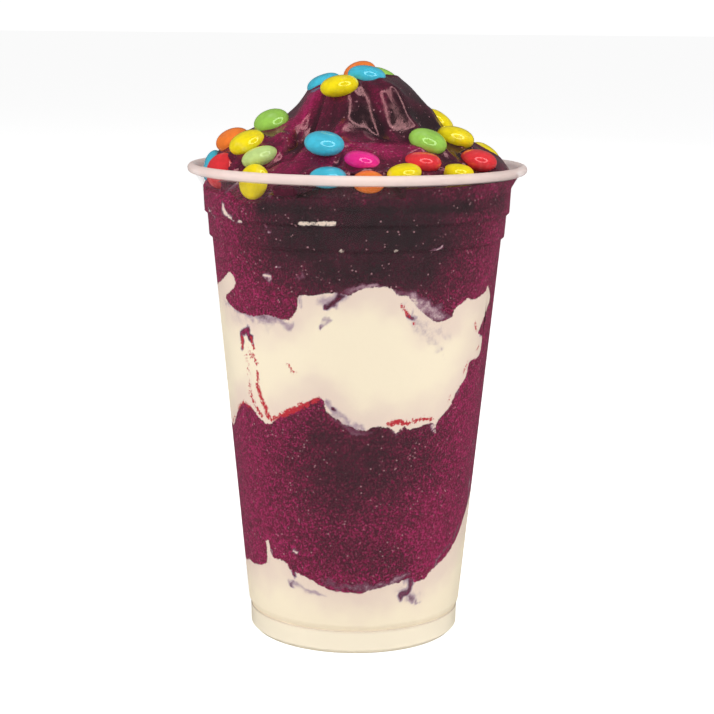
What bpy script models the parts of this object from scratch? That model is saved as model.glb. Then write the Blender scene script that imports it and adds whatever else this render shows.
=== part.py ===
"""Acai cup: a turned plastic cup with two bands of acai and two of cream, heaped into a mound with candies.

Sizes and places below are millimetres and degrees; MM turns them into Blender's metres when a mesh is made.
The cup stands on the XY plane, its axis is Z, and azimuth 0 is the front (-Y), +90 the right-hand side (+X).
"""

import math
import random

import bmesh
import bpy
import numpy as np
from mathutils import Euler, Matrix, Vector

MM = 0.001
NAME = "acai_cup"

# Cup
SEGMENTS = 48
WALL = 0.8
RIM_TOP = 112.0
BEAD_RADIUS = 1.1
BEAD_CENTRE = 38.65
BEAD_STEPS = 6
NECK = (38.0, 109.4)
FLARE_FOOT = (36.36, 106.7)
STEP_UPPER = (36.05, 101.0)
STEP_UPPER_INNER = (35.36, 100.4)
STEP_LOWER = (34.97, 95.4)
STEP_LOWER_INNER = (34.25, 94.8)
BODY_FOOT = (25.75, 6.9)
BASE_RING_TOP = (25.1, 6.3)
BASE_RING_FOOT = (25.0, 1.0)
FOOT_OUTER = 24.05
FOOT_INNER = 21.6
FLOOR_EDGE = 21.0
FLOOR_UNDERSIDE = 1.8
FLOOR_TOP = 2.6

# Contents
GAP = 0.3
FLOOR_CORNER = 1.2
RING_FRACTIONS = (0.5, 0.82, 1.0)
CREAM_BASE_CENTRE = 22.0
CREAM_MIDDLE_LOW_CENTRE = 61.0
CREAM_MIDDLE_TOP_CENTRE = 80.0

# Where each layer's edge lies on the cup wall: azimuth, height. The front half follows the picture.
CREAM_BASE_EDGE = [(-130, 18), (-90, 17.5), (-60, 18.4), (-48, 22.5), (-38, 21), (-21, 17.3), (5, 15.2),
                   (28, 17.5), (42, 18.8), (57, 23), (74, 31.5), (100, 36), (140, 29), (180, 21)]
CREAM_MIDDLE_LOW = [(-135, 54), (-90, 51.3), (-54, 58.3), (-42, 54.1), (-26, 57.1), (-17, 61.3), (-9, 56.6),
                    (3, 54), (20, 53.6), (38, 54.2), (46, 59), (54, 68), (68, 70), (75, 74.8),
                    (95, 70.8), (115, 68.8), (128, 63), (150, 57), (180, 58.5)]
CREAM_MIDDLE_TOP = [(-150, 82), (-105, 84.5), (-85, 83.9), (-62, 87.5), (-54, 79.8), (-28, 79.3), (-21, 84.8),
                    (3, 86.7), (15, 86.4), (23, 83.8), (40, 80), (50, 83), (68, 84),
                    (75, 77.2), (95, 73.2), (115, 71.2), (128, 76), (150, 83), (180, 85.5)]
# How far the middle cream stops short of the wall, where the two acai layers meet beside it.
CREAM_MIDDLE_RECESS = [(-90, 0), (66, 0), (75, 3.5), (115, 3.5), (124, 0)]
RECESS_DEEPEST = 3.5
# Top edge of the upper acai on the wall, just under the rim.
ACAI_EDGE = [(-180, 109.5), (-140, 109.8), (-90, 109.6), (-60, 109.2), (-48, 107.1), (-25, 107.1),
             (-12, 108.8), (20, 109), (60, 109.4), (90, 109.6), (130, 109.8)]

# Mound: its summit, and the fall from summit (1) to wall (0) by fraction of the way out, on four sides.
SUMMIT = (4.5, 4.5, 132.2)
MOUND_REACH = 36.4
MOUND_RINGS = 12
MOUND_RIGHT = [(0, 1), (0.14, 0.98), (0.41, 0.61), (0.53, 0.43), (0.75, 0.28), (0.94, 0.12), (1, 0)]
MOUND_LEFT = [(0, 1), (0.25, 0.93), (0.40, 0.82), (0.46, 0.69), (0.54, 0.57), (0.75, 0.42), (0.92, 0.18),
              (1, 0)]
MOUND_FRONT = [(0, 1), (0.18, 0.99), (0.30, 0.945), (0.40, 0.83), (0.51, 0.50), (0.58, 0.42), (0.66, 0.375),
               (0.74, 0.31), (0.82, 0.20), (0.93, 0.08), (1, 0)]
MOUND_BACK = [(0, 1), (0.2, 0.92), (0.42, 0.65), (0.6, 0.44), (0.78, 0.26), (0.93, 0.12), (1, 0)]
# Swells and creases of the mound: x, y, length, width, turn of the length from +X, height (creases below 0).
FOLDS = [
    (-3.8, -13.5, 6.0, 4.0, 86, 2.1),
    (-5.4, -13.0, 4.6, 0.9, 75, -1.6),
    (7.4, -11.8, 5.0, 3.0, -36, 2.0),
    (12.0, -13.6, 4.4, 3.0, -36, 2.0),
    (4.0, -15.4, 4.5, 2.0, -50, -2.6),
    (-13.2, -17.5, 6.0, 1.6, 70, -1.8),
    (-14.5, -9.0, 7.0, 2.2, 55, 1.0),
    (-17.5, -15.5, 4.0, 3.2, 20, 0.9),
    (-12.0, -26.0, 7.0, 4.0, 15, 0.9),
    (18.5, -5.0, 5.0, 2.4, -40, 0.9),
    (-10.0, 14.0, 8.0, 3.0, 50, 1.0),
    (12.0, 15.0, 8.0, 3.2, -50, 1.1),
    (1.0, 17.0, 7.0, 1.8, 85, -1.3),
]

# Candies
CANDY_RADIUS = 4.35
CANDY_HALF_THICKNESS = 2.35
CANDY_SIDES = 10
CANDY_BANDS = 6
CANDY_EDGE = 0.86
# A socket is wider than its candy all round by this many gaps.
SOCKET_GAP = 1.1
# The picture's eye: its place, how far it looks down, its turn, and the picture's middle and focal length
# in pixels.
EYE = (0.0, -424.1, 142.9)
EYE_DOWN = 10.32
EYE_TURN = 0.5
PICTURE_MIDDLE = (355.85, 357.0)
PICTURE_FOCAL = 1802.0
# How far along its line of sight a candy may lie, and in how many steps the line is followed.
SIGHT_REACH = (370.0, 475.0)
SIGHT_STEPS = 2101
# Colour; where the picture shows the candy's centre, across and down in pixels; what it rests on (the mound's
# near side, the mound beyond its crest, or the wall); its centre's lift over the mound or distance in from the
# wall; lean to the front, roll to the right and turn in degrees; size.
CANDIES_SEEN = [
    ("orange", 360, 73.5, "beyond", 2.7, 30, -18, 0, 0.93),
    ("blue", 367, 76, "mound", 0.5, 2, 7, 0, 1.02),
    ("green", 383, 78.5, "beyond", -1.2, -4, 24, 0, 0.93),
    ("blue", 324.5, 84, "mound", -0.4, 0, -20, 0, 0.97),
    ("yellow", 339.5, 86, "mound", 1.5, 6, -10, 0, 1.02),
    ("green", 271.5, 121.5, "mound", 1.2, 24, -18, 0, 0.96),
    ("orange", 233, 140, "mound", 0.5, 22, -20, 0, 0.94),
    ("yellow", 247, 142.5, "mound", 0.7, 16, -22, 0, 0.98),
    ("lime", 260, 157, "mound", 0.5, 2, -18, 0, 0.97),
    ("red", 223, 171, "wall", 4.0, 70, 0, -30, 0.98),
    ("blue", 213, 166.5, "wall", 3.2, 76, 0, -80, 0.90),
    ("yellow", 254.5, 182, "wall", 3.4, 80, 0, -38, 0.93),
    ("blue", 324.5, 143.5, "mound", 1.9, 15, 6, 0, 1.03),
    ("pink", 363, 162, "mound", -1.4, 2, 11, 0, 0.99),
    ("blue", 328, 177.5, "mound", -0.6, 8, 0, -12, 0.95),
    ("orange", 369, 182, "mound", -0.9, 24, 0, 5, 0.84),
    ("yellow", 404.5, 173.5, "mound", 1.0, 8, -8, 0, 0.88),
    ("red", 422.5, 162.5, "mound", -0.2, 2, 3, 0, 0.98),
    ("green", 428, 141.5, "mound", 0.9, 16, 18, 0, 1.02),
    ("yellow", 455.5, 137.5, "mound", 1.0, 6, 13, 0, 1.01),
    ("yellow", 438.5, 122, "mound", -1.0, 0, 36, 0, 0.95),
    ("yellow", 485, 155, "mound", -1.3, 6, 34, 0, 0.95),
    ("red", 478.5, 160.5, "mound", 1.0, 8, 9, 0, 0.98),
    ("yellow", 457.5, 173, "mound", -0.5, 2, 3, 0, 0.86),
]
CANDIES_BEHIND = 8
BEHIND_COLOURS = ("yellow", "blue", "red", "green", "orange", "pink", "lime")
BEHIND_SEED = 51
BEHIND_SPACING = 9.4
BEHIND_TRIES = 1200
BEHIND_SINK = 0.7
BEHIND_TILT = 0.6
# The mound hides the far candies from the eye, with this much room over and beside each.
BEHIND_HEADROOM = 3.2
BEHIND_HALF_WIDTH = 6.5

COLOURS = {
    "cup": (0.80, 0.77, 0.75),
    "acai": (0.060, 0.018, 0.032),
    "cream": (0.92, 0.80, 0.62),
    "orange": (0.91, 0.19, 0.03),
    "blue": (0.05, 0.52, 0.76),
    "green": (0.13, 0.52, 0.07),
    "lime": (0.42, 0.72, 0.16),
    "yellow": (0.96, 0.78, 0.02),
    "red": (0.84, 0.03, 0.03),
    "pink": (0.84, 0.03, 0.24),
}


def remove_scene_objects():
    """Start from an empty scene without closing the file."""
    for scene_object in list(bpy.data.objects):
        bpy.data.objects.remove(scene_object, do_unlink=True)


def make_collection(name):
    """Make a collection in the scene."""
    collection = bpy.data.collections.new(name)
    bpy.context.scene.collection.children.link(collection)
    return collection


def make_material(name, colour, roughness):
    """Make a Principled material of one linear colour."""
    material = bpy.data.materials.new(name)
    material.use_nodes = True
    shader = material.node_tree.nodes["Principled BSDF"]
    shader.inputs["Base Color"].default_value = (*colour, 1.0)
    shader.inputs["Roughness"].default_value = roughness
    return material


def add_object(name, mesh, collection, material=None):
    """Put a mesh into the scene as a named object."""
    new_object = bpy.data.objects.new(name, mesh)
    collection.objects.link(new_object)
    if material:
        mesh.materials.append(material)
    return new_object


def smooth_curve(points, where, period=None):
    """Read a curve through (place, value) points that never swings past them; a period closes it on itself."""
    places = np.array([place for place, _ in points], float)
    values = np.array([value for _, value in points], float)
    if period:
        places = np.concatenate([places - period, places, places + period])
        values = np.tile(values, 3)
    slopes = np.diff(values) / np.diff(places)
    before = np.concatenate([slopes[:1], slopes])
    after = np.concatenate([slopes, slopes[-1:]])
    product = before * after
    total = np.where(product > 0, before + after, 1.0)
    tangents = np.where(product > 0, 2 * product / total, 0.0)
    where = np.asarray(where, float)
    piece = np.clip(np.searchsorted(places, where, side="right") - 1, 0, len(slopes) - 1)
    span = places[piece + 1] - places[piece]
    t = np.clip((where - places[piece]) / span, 0, 1)
    start = (2 * t**3 - 3 * t**2 + 1) * values[piece] + (t**3 - 2 * t**2 + t) * span * tangents[piece]
    end = (3 * t**2 - 2 * t**3) * values[piece + 1] + (t**3 - t**2) * span * tangents[piece + 1]
    return start + end


def on_wall(points, azimuth):
    """Read an edge list round the cup at an azimuth in degrees."""
    return smooth_curve(points, azimuth, period=360)


def inner_wall():
    """List the cup's inside from floor to neck as (radius, height)."""
    outside = (BODY_FOOT, STEP_LOWER_INNER, STEP_LOWER, STEP_UPPER_INNER, STEP_UPPER, FLARE_FOOT, NECK)
    return [(radius - WALL, height) for radius, height in outside]


def cup_profile():
    """List the cup's section: floor, inside upwards, over the bead and down the outside to the foot."""
    points = [(0.0, FLOOR_TOP), (BASE_RING_TOP[0] - WALL - FLOOR_CORNER, FLOOR_TOP)]
    points.append((BASE_RING_TOP[0] - WALL, FLOOR_TOP + FLOOR_CORNER))
    points.append((BASE_RING_TOP[0] - WALL, BASE_RING_TOP[1]))
    points.extend(inner_wall())
    for step in range(BEAD_STEPS + 1):
        angle = math.radians(180 - step * 270 / BEAD_STEPS)
        height = RIM_TOP - BEAD_RADIUS + BEAD_RADIUS * math.sin(angle)
        points.append((BEAD_CENTRE + BEAD_RADIUS * math.cos(angle), height))
    points.extend((NECK, FLARE_FOOT, STEP_UPPER, STEP_UPPER_INNER, STEP_LOWER, STEP_LOWER_INNER))
    points.extend((BODY_FOOT, BASE_RING_TOP, BASE_RING_FOOT, (FOOT_OUTER, 0.0), (FOOT_INNER, 0.0)))
    points.extend(((FLOOR_EDGE, FLOOR_UNDERSIDE), (0.0, FLOOR_UNDERSIDE)))
    return points


def make_cup(collection, material):
    """Turn the cup's section about Z."""
    points = [Vector((radius * MM, 0.0, height * MM)) for radius, height in cup_profile()]
    mesh = bpy.data.meshes.new("cup")
    mesh.from_pydata(points, [(index, index + 1) for index in range(len(points) - 1)], [])
    cup = add_object("cup", mesh, collection, material)
    turn = cup.modifiers.new("Turn", "SCREW")
    turn.steps = SEGMENTS
    turn.render_steps = SEGMENTS
    turn.use_merge_vertices = True
    turn.merge_threshold = 0.00005
    return cup


def contents_radius(height):
    """Give how far the contents reach at a height, a gap short of the cup's inside."""
    walls = [(BASE_RING_TOP[0] - WALL, 0.0), (BASE_RING_TOP[0] - WALL, BASE_RING_TOP[1] + GAP)]
    walls.extend((radius, wall_height + GAP) for radius, wall_height in inner_wall())
    heights = [wall_height for _, wall_height in walls]
    return np.interp(height, heights, [radius for radius, _ in walls]) - GAP


def mound_height(x, y):
    """Give the height of the mound's surface over a place in plan."""
    x, y = np.asarray(x, float), np.asarray(y, float)
    dx, dy = x - SUMMIT[0], y - SUMMIT[1]
    distance = np.hypot(dx, dy) + 1e-9
    ux, uy = dx / distance, dy / distance
    along = SUMMIT[0] * ux + SUMMIT[1] * uy
    reach = np.sqrt(along**2 + MOUND_REACH**2 - SUMMIT[0] ** 2 - SUMMIT[1] ** 2) - along
    fraction = np.minimum(distance / reach, 1.0)
    azimuth = np.degrees(np.arctan2(SUMMIT[0] + ux * reach, -SUMMIT[1] - uy * reach))
    edge = on_wall(ACAI_EDGE, azimuth)
    fall = np.maximum(ux, 0) ** 2 * smooth_curve(MOUND_RIGHT, fraction)
    fall = fall + np.maximum(-ux, 0) ** 2 * smooth_curve(MOUND_LEFT, fraction)
    fall = fall + np.maximum(-uy, 0) ** 2 * smooth_curve(MOUND_FRONT, fraction)
    fall = fall + np.maximum(uy, 0) ** 2 * smooth_curve(MOUND_BACK, fraction)
    height = edge + (SUMMIT[2] - edge) * fall
    for fold_x, fold_y, length, width, turn, rise in FOLDS:
        cosine, sine = math.cos(math.radians(turn)), math.sin(math.radians(turn))
        lengthwise = (x - fold_x) * cosine + (y - fold_y) * sine
        crosswise = (y - fold_y) * cosine - (x - fold_x) * sine
        height = height + rise * np.exp(-((lengthwise / length) ** 2) - (crosswise / width) ** 2)
    return height


def ring_points(radius, height):
    """Place one ring of points; radius and height may vary round it."""
    turns = np.radians(np.arange(SEGMENTS) * 360 / SEGMENTS)
    radius, height = np.broadcast_to(radius, turns.shape), np.broadcast_to(height, turns.shape)
    return np.stack([radius * np.sin(turns), -radius * np.cos(turns), height], axis=1)


def close_rings(name, rings, low_centre, high_centre):
    """Skin a stack of rings, from the underside's centre out, up the wall and in to the top's centre."""
    shape = bmesh.new()
    loops = [[shape.verts.new(Vector(point) * MM) for point in ring] for ring in rings]
    low = shape.verts.new(Vector(low_centre) * MM)
    high = shape.verts.new(Vector(high_centre) * MM)
    for first, second in zip(loops[0], loops[0][1:] + loops[0][:1]):
        shape.faces.new((low, second, first))
    for before, after in zip(loops, loops[1:]):
        outwards = after[0].co.xy.length >= before[0].co.xy.length
        for index in range(SEGMENTS):
            a, b = before[index], before[(index + 1) % SEGMENTS]
            c, d = after[(index + 1) % SEGMENTS], after[index]
            # Each square is cut the same way in plan on facing layers, so that their gap is even.
            for corners in ((a, b, c), (a, c, d)) if outwards else ((a, b, d), (b, c, d)):
                shape.faces.new(corners)
    for first, second in zip(loops[-1], loops[-1][1:] + loops[-1][:1]):
        shape.faces.new((high, first, second))
    mesh = bpy.data.meshes.new(name)
    shape.to_mesh(mesh)
    shape.free()
    return mesh


def face_rings(edge, centre, shift, radius):
    """Make a layer face's rings, which bend from its centre height to its edge on the wall."""
    rings = []
    for fraction in RING_FRACTIONS:
        height = centre + (edge - centre) * fraction**2 + shift
        rings.append(ring_points(radius * fraction, height))
    return rings


def edge_heights():
    """Read every wall edge and the recess at the segments' azimuths."""
    azimuths = np.arange(SEGMENTS) * 360 / SEGMENTS
    azimuths = np.where(azimuths > 180, azimuths - 360, azimuths)
    lists = {
        "base": CREAM_BASE_EDGE,
        "low": CREAM_MIDDLE_LOW,
        "top": CREAM_MIDDLE_TOP,
        "recess": CREAM_MIDDLE_RECESS,
        "rim": ACAI_EDGE,
    }
    return {name: on_wall(points, azimuths) for name, points in lists.items()}


def shared_radius(edges, name):
    """Give how far out both faces of a cream-to-acai gap are curved alike, just inside wall or recess."""
    return contents_radius(edges[name]) - GAP - edges["recess"]


def skirt_ring(edges, side):
    """Make the ring where an acai layer's face meets the wall: by the cream, or by the other acai layer."""
    share = np.clip(edges["recess"] / RECESS_DEEPEST, 0, 1)
    beside_cream = edges["top"] + GAP if side > 0 else edges["low"] - GAP
    joined = (edges["top"] + edges["low"]) / 2 + side * GAP / 2
    height = beside_cream * (1 - share) + joined * share
    return ring_points(contents_radius(height), height)


def make_cream_base(edges, collection, material):
    """Make the cream at the bottom of the cup."""
    floor = FLOOR_TOP + GAP
    corner = contents_radius(floor)
    rings = [ring_points(corner * 0.5, floor), ring_points(corner - FLOOR_CORNER, floor)]
    rings.append(ring_points(corner, floor + FLOOR_CORNER))
    rings.append(ring_points(corner, BASE_RING_TOP[1] + GAP))
    rings.append(ring_points(BODY_FOOT[0] - WALL - GAP, BODY_FOOT[1] + GAP))
    top = face_rings(edges["base"], CREAM_BASE_CENTRE, 0.0, contents_radius(edges["base"]))
    mesh = close_rings("cream_base", rings + top[::-1], (0, 0, floor), (0, 0, CREAM_BASE_CENTRE))
    return add_object("cream_base", mesh, collection, material)


def make_acai_lower(edges, collection, material):
    """Make the acai between the two layers of cream."""
    under = face_rings(edges["base"], CREAM_BASE_CENTRE, GAP, contents_radius(edges["base"]))
    over = face_rings(edges["low"], CREAM_MIDDLE_LOW_CENTRE, -GAP, shared_radius(edges, "low"))
    rings = under + [skirt_ring(edges, -1)] + over[::-1]
    low, high = CREAM_BASE_CENTRE + GAP, CREAM_MIDDLE_LOW_CENTRE - GAP
    mesh = close_rings("acai_lower", rings, (0, 0, low), (0, 0, high))
    return add_object("acai_lower", mesh, collection, material)


def make_cream_middle(edges, collection, material):
    """Make the cream between the two layers of acai, which stops short of the wall at the back right."""
    rings = face_rings(edges["low"], CREAM_MIDDLE_LOW_CENTRE, 0.0, shared_radius(edges, "low"))
    for name in ("low", "top"):
        rings.append(ring_points(shared_radius(edges, name) + GAP, edges[name]))
    over = face_rings(edges["top"], CREAM_MIDDLE_TOP_CENTRE, 0.0, shared_radius(edges, "top"))
    centres = (0, 0, CREAM_MIDDLE_LOW_CENTRE), (0, 0, CREAM_MIDDLE_TOP_CENTRE)
    mesh = close_rings("cream_middle", rings + over[::-1], *centres)
    return add_object("cream_middle", mesh, collection, material)


def make_acai_upper(edges, collection, material):
    """Make the top acai: its skirt down the wall, its underside on the cream, and the heaped mound."""
    rings = face_rings(edges["top"], CREAM_MIDDLE_TOP_CENTRE, GAP, shared_radius(edges, "top"))
    rings.append(skirt_ring(edges, 1))
    for _, height in inner_wall()[1:6]:
        rings.append(ring_points(contents_radius(height + GAP), height + GAP))
    brim = contents_radius(edges["rim"])
    for ring in range(MOUND_RINGS):
        points = ring_points(brim * (1 - ring / MOUND_RINGS), 0.0)
        points[:, 2] = mound_height(points[:, 0], points[:, 1])
        if ring == 0:
            points[:, 2] = edges["rim"]
        rings.append(points)
    summit = (0, 0, float(mound_height(0.0, 0.0)))
    mesh = close_rings("acai_upper", rings, (0, 0, CREAM_MIDDLE_TOP_CENTRE + GAP), summit)
    return add_object("acai_upper", mesh, collection, material)


def candy_mesh(name, size, swell=0.0):
    """Make a lentil-shaped candy: a flattened ball, its edge drawn in a little tighter than an ellipse."""
    shape = bmesh.new()
    bmesh.ops.create_uvsphere(shape, u_segments=CANDY_SIDES, v_segments=CANDY_BANDS, radius=1.0)
    for vert in shape.verts:
        reach = math.hypot(vert.co.x, vert.co.y)
        pull = reach**CANDY_EDGE / reach if reach > 1e-6 else 1.0
        across = (CANDY_RADIUS * size + swell) * pull
        upwards = CANDY_HALF_THICKNESS * size + swell
        vert.co = Vector((vert.co.x * across, vert.co.y * across, vert.co.z * upwards))
    bmesh.ops.scale(shape, vec=(MM, MM, MM), verts=shape.verts)
    mesh = bpy.data.meshes.new(name)
    shape.to_mesh(mesh)
    shape.free()
    mesh.shade_smooth()
    return mesh


def line_of_sight(across, down):
    """Give the places, in millimetres, that the eye sees through one pixel of the picture."""
    pixel = Vector((across - PICTURE_MIDDLE[0], PICTURE_MIDDLE[1] - down, -PICTURE_FOCAL)) / PICTURE_FOCAL
    pixel.rotate(Euler((0.0, 0.0, math.radians(EYE_TURN))))
    pixel.rotate(Euler((math.radians(90 - EYE_DOWN), 0.0, 0.0)))
    distance = np.linspace(*SIGHT_REACH, SIGHT_STEPS)
    return [start + step * distance for start, step in zip(EYE, pixel)]


def candy_place(across, down, rests_on, offset):
    """Find where a candy seen at a pixel lies: on the mound, beyond its crest, or in from the wall."""
    x, y, z = line_of_sight(across, down)
    if rests_on == "wall":
        outside = np.hypot(x, y) - contents_radius(z) + offset
    else:
        outside = z - mound_height(x, y) - offset
    if rests_on == "beyond":
        found = np.flatnonzero((outside[:-1] <= 0) & (outside[1:] > 0))[-1:]
    else:
        found = np.flatnonzero((outside[:-1] > 0) & (outside[1:] <= 0))[:1]
    nearest = found[0] if len(found) else np.argmin(np.abs(outside))
    return float(x[nearest]), float(y[nearest]), float(z[nearest])


def candies_in_sight():
    """Give every candy that the picture shows, with its centre worked out."""
    return [(colour, *candy_place(across, down, rests_on, offset), *tilt_and_size)
            for colour, across, down, rests_on, offset, *tilt_and_size in CANDIES_SEEN]


def mound_tilt(x, y):
    """Give the mound's slope in plan as lean to the front and roll to the right, in degrees."""
    step = 2.0
    rise_x = float(mound_height(x + step, y) - mound_height(x - step, y)) / (2 * step)
    rise_y = float(mound_height(x, y + step) - mound_height(x, y - step)) / (2 * step)
    return math.degrees(math.atan(rise_y)), -math.degrees(math.atan(rise_x))


def shows_from_front(x, y):
    """Say whether a candy on the far side would show over the mound to someone who looks from the front."""
    share = np.linspace(0.01, 0.2, 60)
    for side in (-BEHIND_HALF_WIDTH, 0.0, BEHIND_HALF_WIDTH):
        top = float(mound_height(x + side, y)) + BEHIND_HEADROOM
        line_x = x + side + (EYE[0] - x - side) * share
        line_y = y + (EYE[1] - y) * share
        line_height = top + (EYE[2] - top) * share
        if np.all(line_height > mound_height(line_x, line_y)):
            return True
    return False


def candies_behind(in_sight):
    """Scatter candies over the far side, clear of those in sight and of each other, by a seeded rule."""
    draw = random.Random(BEHIND_SEED)
    taken = [(x, y) for _, x, y, *_ in in_sight]
    behind = []
    for _ in range(BEHIND_TRIES):
        azimuth = math.radians(draw.uniform(75, 285))
        distance = 31.0 * math.sqrt(draw.uniform(0.08, 1.0))
        x, y = distance * math.sin(azimuth), -distance * math.cos(azimuth)
        clear = all(math.hypot(x - other_x, y - other_y) > BEHIND_SPACING for other_x, other_y in taken)
        if not clear or len(behind) == CANDIES_BEHIND or shows_from_front(x, y):
            continue
        taken.append((x, y))
        lean, roll = mound_tilt(x, y)
        z = float(mound_height(x, y)) + BEHIND_SINK + draw.uniform(-0.8, 0.4)
        colour = BEHIND_COLOURS[len(behind) % len(BEHIND_COLOURS)]
        lean = lean * BEHIND_TILT + draw.uniform(-8, 8)
        roll = roll * BEHIND_TILT + draw.uniform(-8, 8)
        behind.append((colour, x, y, z, lean, roll, 0, draw.uniform(0.93, 1.02)))
    return behind


def make_candies(collection, sockets, materials):
    """Set every candy on the mound, with a slightly larger copy that will cut its socket."""
    in_sight = candies_in_sight()
    for number, candy in enumerate(in_sight + candies_behind(in_sight), start=1):
        colour, x, y, z, lean, roll, turn, size = candy
        name = f"candy_{number:02d}_{colour}"
        place = Vector((x, y, z)) * MM
        tilt = Euler((math.radians(lean), math.radians(roll), math.radians(turn)), "XYZ")
        set_at = Matrix.LocRotScale(place, tilt, None)
        add_object(name, candy_mesh(name, size), collection, materials[colour]).matrix_world = set_at
        cutter = f"socket_{number:02d}"
        socket = add_object(cutter, candy_mesh(cutter, size, GAP * SOCKET_GAP), sockets)
        socket.matrix_world = set_at
        socket.hide_render = True
        socket.display_type = "WIRE"


def cut_sockets(mound, sockets):
    """Cut the candies' sockets out of the mound, so that each sits in the acai without crossing it."""
    cut = mound.modifiers.new("Candy sockets", "BOOLEAN")
    cut.operation = "DIFFERENCE"
    cut.operand_type = "COLLECTION"
    cut.collection = sockets
    cut.solver = "EXACT"


def main():
    """Build the cup, its layers and its candies."""
    remove_scene_objects()
    collection = make_collection(NAME)
    sockets = make_collection("cutters")
    materials = {name: make_material(name, colour, 0.25) for name, colour in COLOURS.items()}
    edges = edge_heights()
    make_cup(collection, materials["cup"])
    make_cream_base(edges, collection, materials["cream"])
    make_acai_lower(edges, collection, materials["acai"])
    make_cream_middle(edges, collection, materials["cream"])
    mound = make_acai_upper(edges, collection, materials["acai"])
    make_candies(collection, sockets, materials)
    cut_sockets(mound, sockets)


main()
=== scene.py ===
"""Acai cup, dressed: clear plastic, two creams, two layers of acai heaped into a mound, and candies.

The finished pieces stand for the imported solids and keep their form. Sizes in the lists are millimetres and
degrees; azimuth 0 is the front (-Y), +90 the right-hand side (+X).
"""

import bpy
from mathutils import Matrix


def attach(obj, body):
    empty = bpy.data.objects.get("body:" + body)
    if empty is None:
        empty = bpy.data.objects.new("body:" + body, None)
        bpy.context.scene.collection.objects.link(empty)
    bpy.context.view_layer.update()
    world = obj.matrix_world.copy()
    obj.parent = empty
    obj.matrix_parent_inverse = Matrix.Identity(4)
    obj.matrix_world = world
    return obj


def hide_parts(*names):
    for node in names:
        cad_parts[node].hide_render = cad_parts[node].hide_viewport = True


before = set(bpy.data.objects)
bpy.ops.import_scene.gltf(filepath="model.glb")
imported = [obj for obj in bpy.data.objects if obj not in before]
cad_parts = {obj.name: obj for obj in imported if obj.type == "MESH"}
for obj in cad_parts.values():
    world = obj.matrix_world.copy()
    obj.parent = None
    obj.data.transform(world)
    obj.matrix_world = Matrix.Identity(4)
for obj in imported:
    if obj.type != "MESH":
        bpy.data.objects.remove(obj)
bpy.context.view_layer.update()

import math

import bmesh
import bpy
import numpy as np
from bpy.props import FloatProperty, FloatVectorProperty, PointerProperty
from mathutils import Matrix, Vector, noise

bl_info = {
    "name": "Acai Cup",
    "version": (1, 0, 0),
    "blender": (4, 5, 0),
    "location": "3D View > Sidebar > Acai Cup",
    "description": "Builds the finished acai cup round its packed solids",
    "category": "Object",
}

MM = 0.001

# Cup section, as the solids have it.
WALL = 0.8
RIM_TOP = 112.0
BEAD_RADIUS = 1.1
BEAD_CENTRE = 38.65
NECK = (38.0, 109.4)
FLARE_FOOT = (36.36, 106.7)
STEP_UPPER = (36.05, 101.0)
STEP_UPPER_INNER = (35.36, 100.4)
STEP_LOWER = (34.97, 95.4)
STEP_LOWER_INNER = (34.25, 94.8)
BODY_FOOT = (25.75, 6.9)
BASE_RING_TOP = (25.1, 6.3)
BASE_RING_FOOT = (25.0, 1.0)
FOOT_OUTER = 24.05
FOOT_INNER = 21.6
FLOOR_EDGE = 21.0
FLOOR_UNDERSIDE = 1.8
FLOOR_TOP = 2.6
FLOOR_CORNER = 1.2
INNER_WALL = [(radius - WALL, height) for radius, height in (
    (BASE_RING_TOP[0], 0.0), BASE_RING_TOP, BODY_FOOT, STEP_LOWER_INNER, STEP_LOWER, STEP_UPPER_INNER,
    STEP_UPPER, FLARE_FOOT, NECK)]
CUP_TURNS = 192
BEAD_STEPS = 30
CORNER_STEPS = 5

# Contents: where each layer meets the wall (azimuth, height), and how deep its faces bend inside.
CONTENTS_TURNS = 384
REACH = 0.55
UPPER_WALL_START = 94.3
CREAM_BASE_CENTRE = 22.0
CREAM_MIDDLE_LOW_CENTRE = 61.0
CREAM_MIDDLE_TOP_CENTRE = 80.0
CREAM_BASE_EDGE = [
    (-130, 18), (-90, 17.5), (-60, 18.4), (-48, 22.5), (-38, 21), (-21, 17.3), (5, 15.2), (28, 17.5),
    (42, 18.8), (57, 23), (74, 31.5), (100, 36), (140, 29), (180, 21),
]
CREAM_MIDDLE_LOW = [
    (-135, 54), (-90, 51.3), (-54, 58.3), (-42, 54.1), (-26, 57.1), (-17, 61.3), (-9, 56.6), (3, 54),
    (20, 53.6), (38, 54.2), (46, 59), (54, 68), (68, 70), (75, 74.8), (95, 70.8), (115, 68.8), (128, 63),
    (150, 57), (180, 58.5),
]
CREAM_MIDDLE_TOP = [
    (-150, 82), (-105, 84.5), (-85, 83.9), (-62, 87.5), (-54, 79.8), (-28, 79.3), (-21, 84.8), (3, 86.7),
    (15, 86.4), (23, 83.8), (40, 80), (50, 83), (68, 84), (75, 77.2), (95, 73.2), (115, 71.2), (128, 76),
    (150, 83), (180, 85.5),
]
ACAI_EDGE = [
    (-180, 109.5), (-140, 109.8), (-90, 109.6), (-60, 109.2), (-48, 107.1), (-25, 107.1), (-12, 108.8),
    (20, 109), (60, 109.4), (90, 109.6), (130, 109.8),
]
# Between these azimuths the middle cream stands back from the wall and the two acai layers meet.
JOINED_FROM, JOINED_TO = 67.0, 125.0
FILM_EDGE = [
    (-180, 109.5), (-90, 109.4), (-60, 109.4), (-53, 108.6), (-49, 107.3), (-38, 107.1), (-34, 107.6),
    (-31, 109.2), (-25, 109.3), (-12, 108.9), (0, 108.6), (180, 109.5),
]
CREAM_SET_BACK = 3.5

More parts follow.
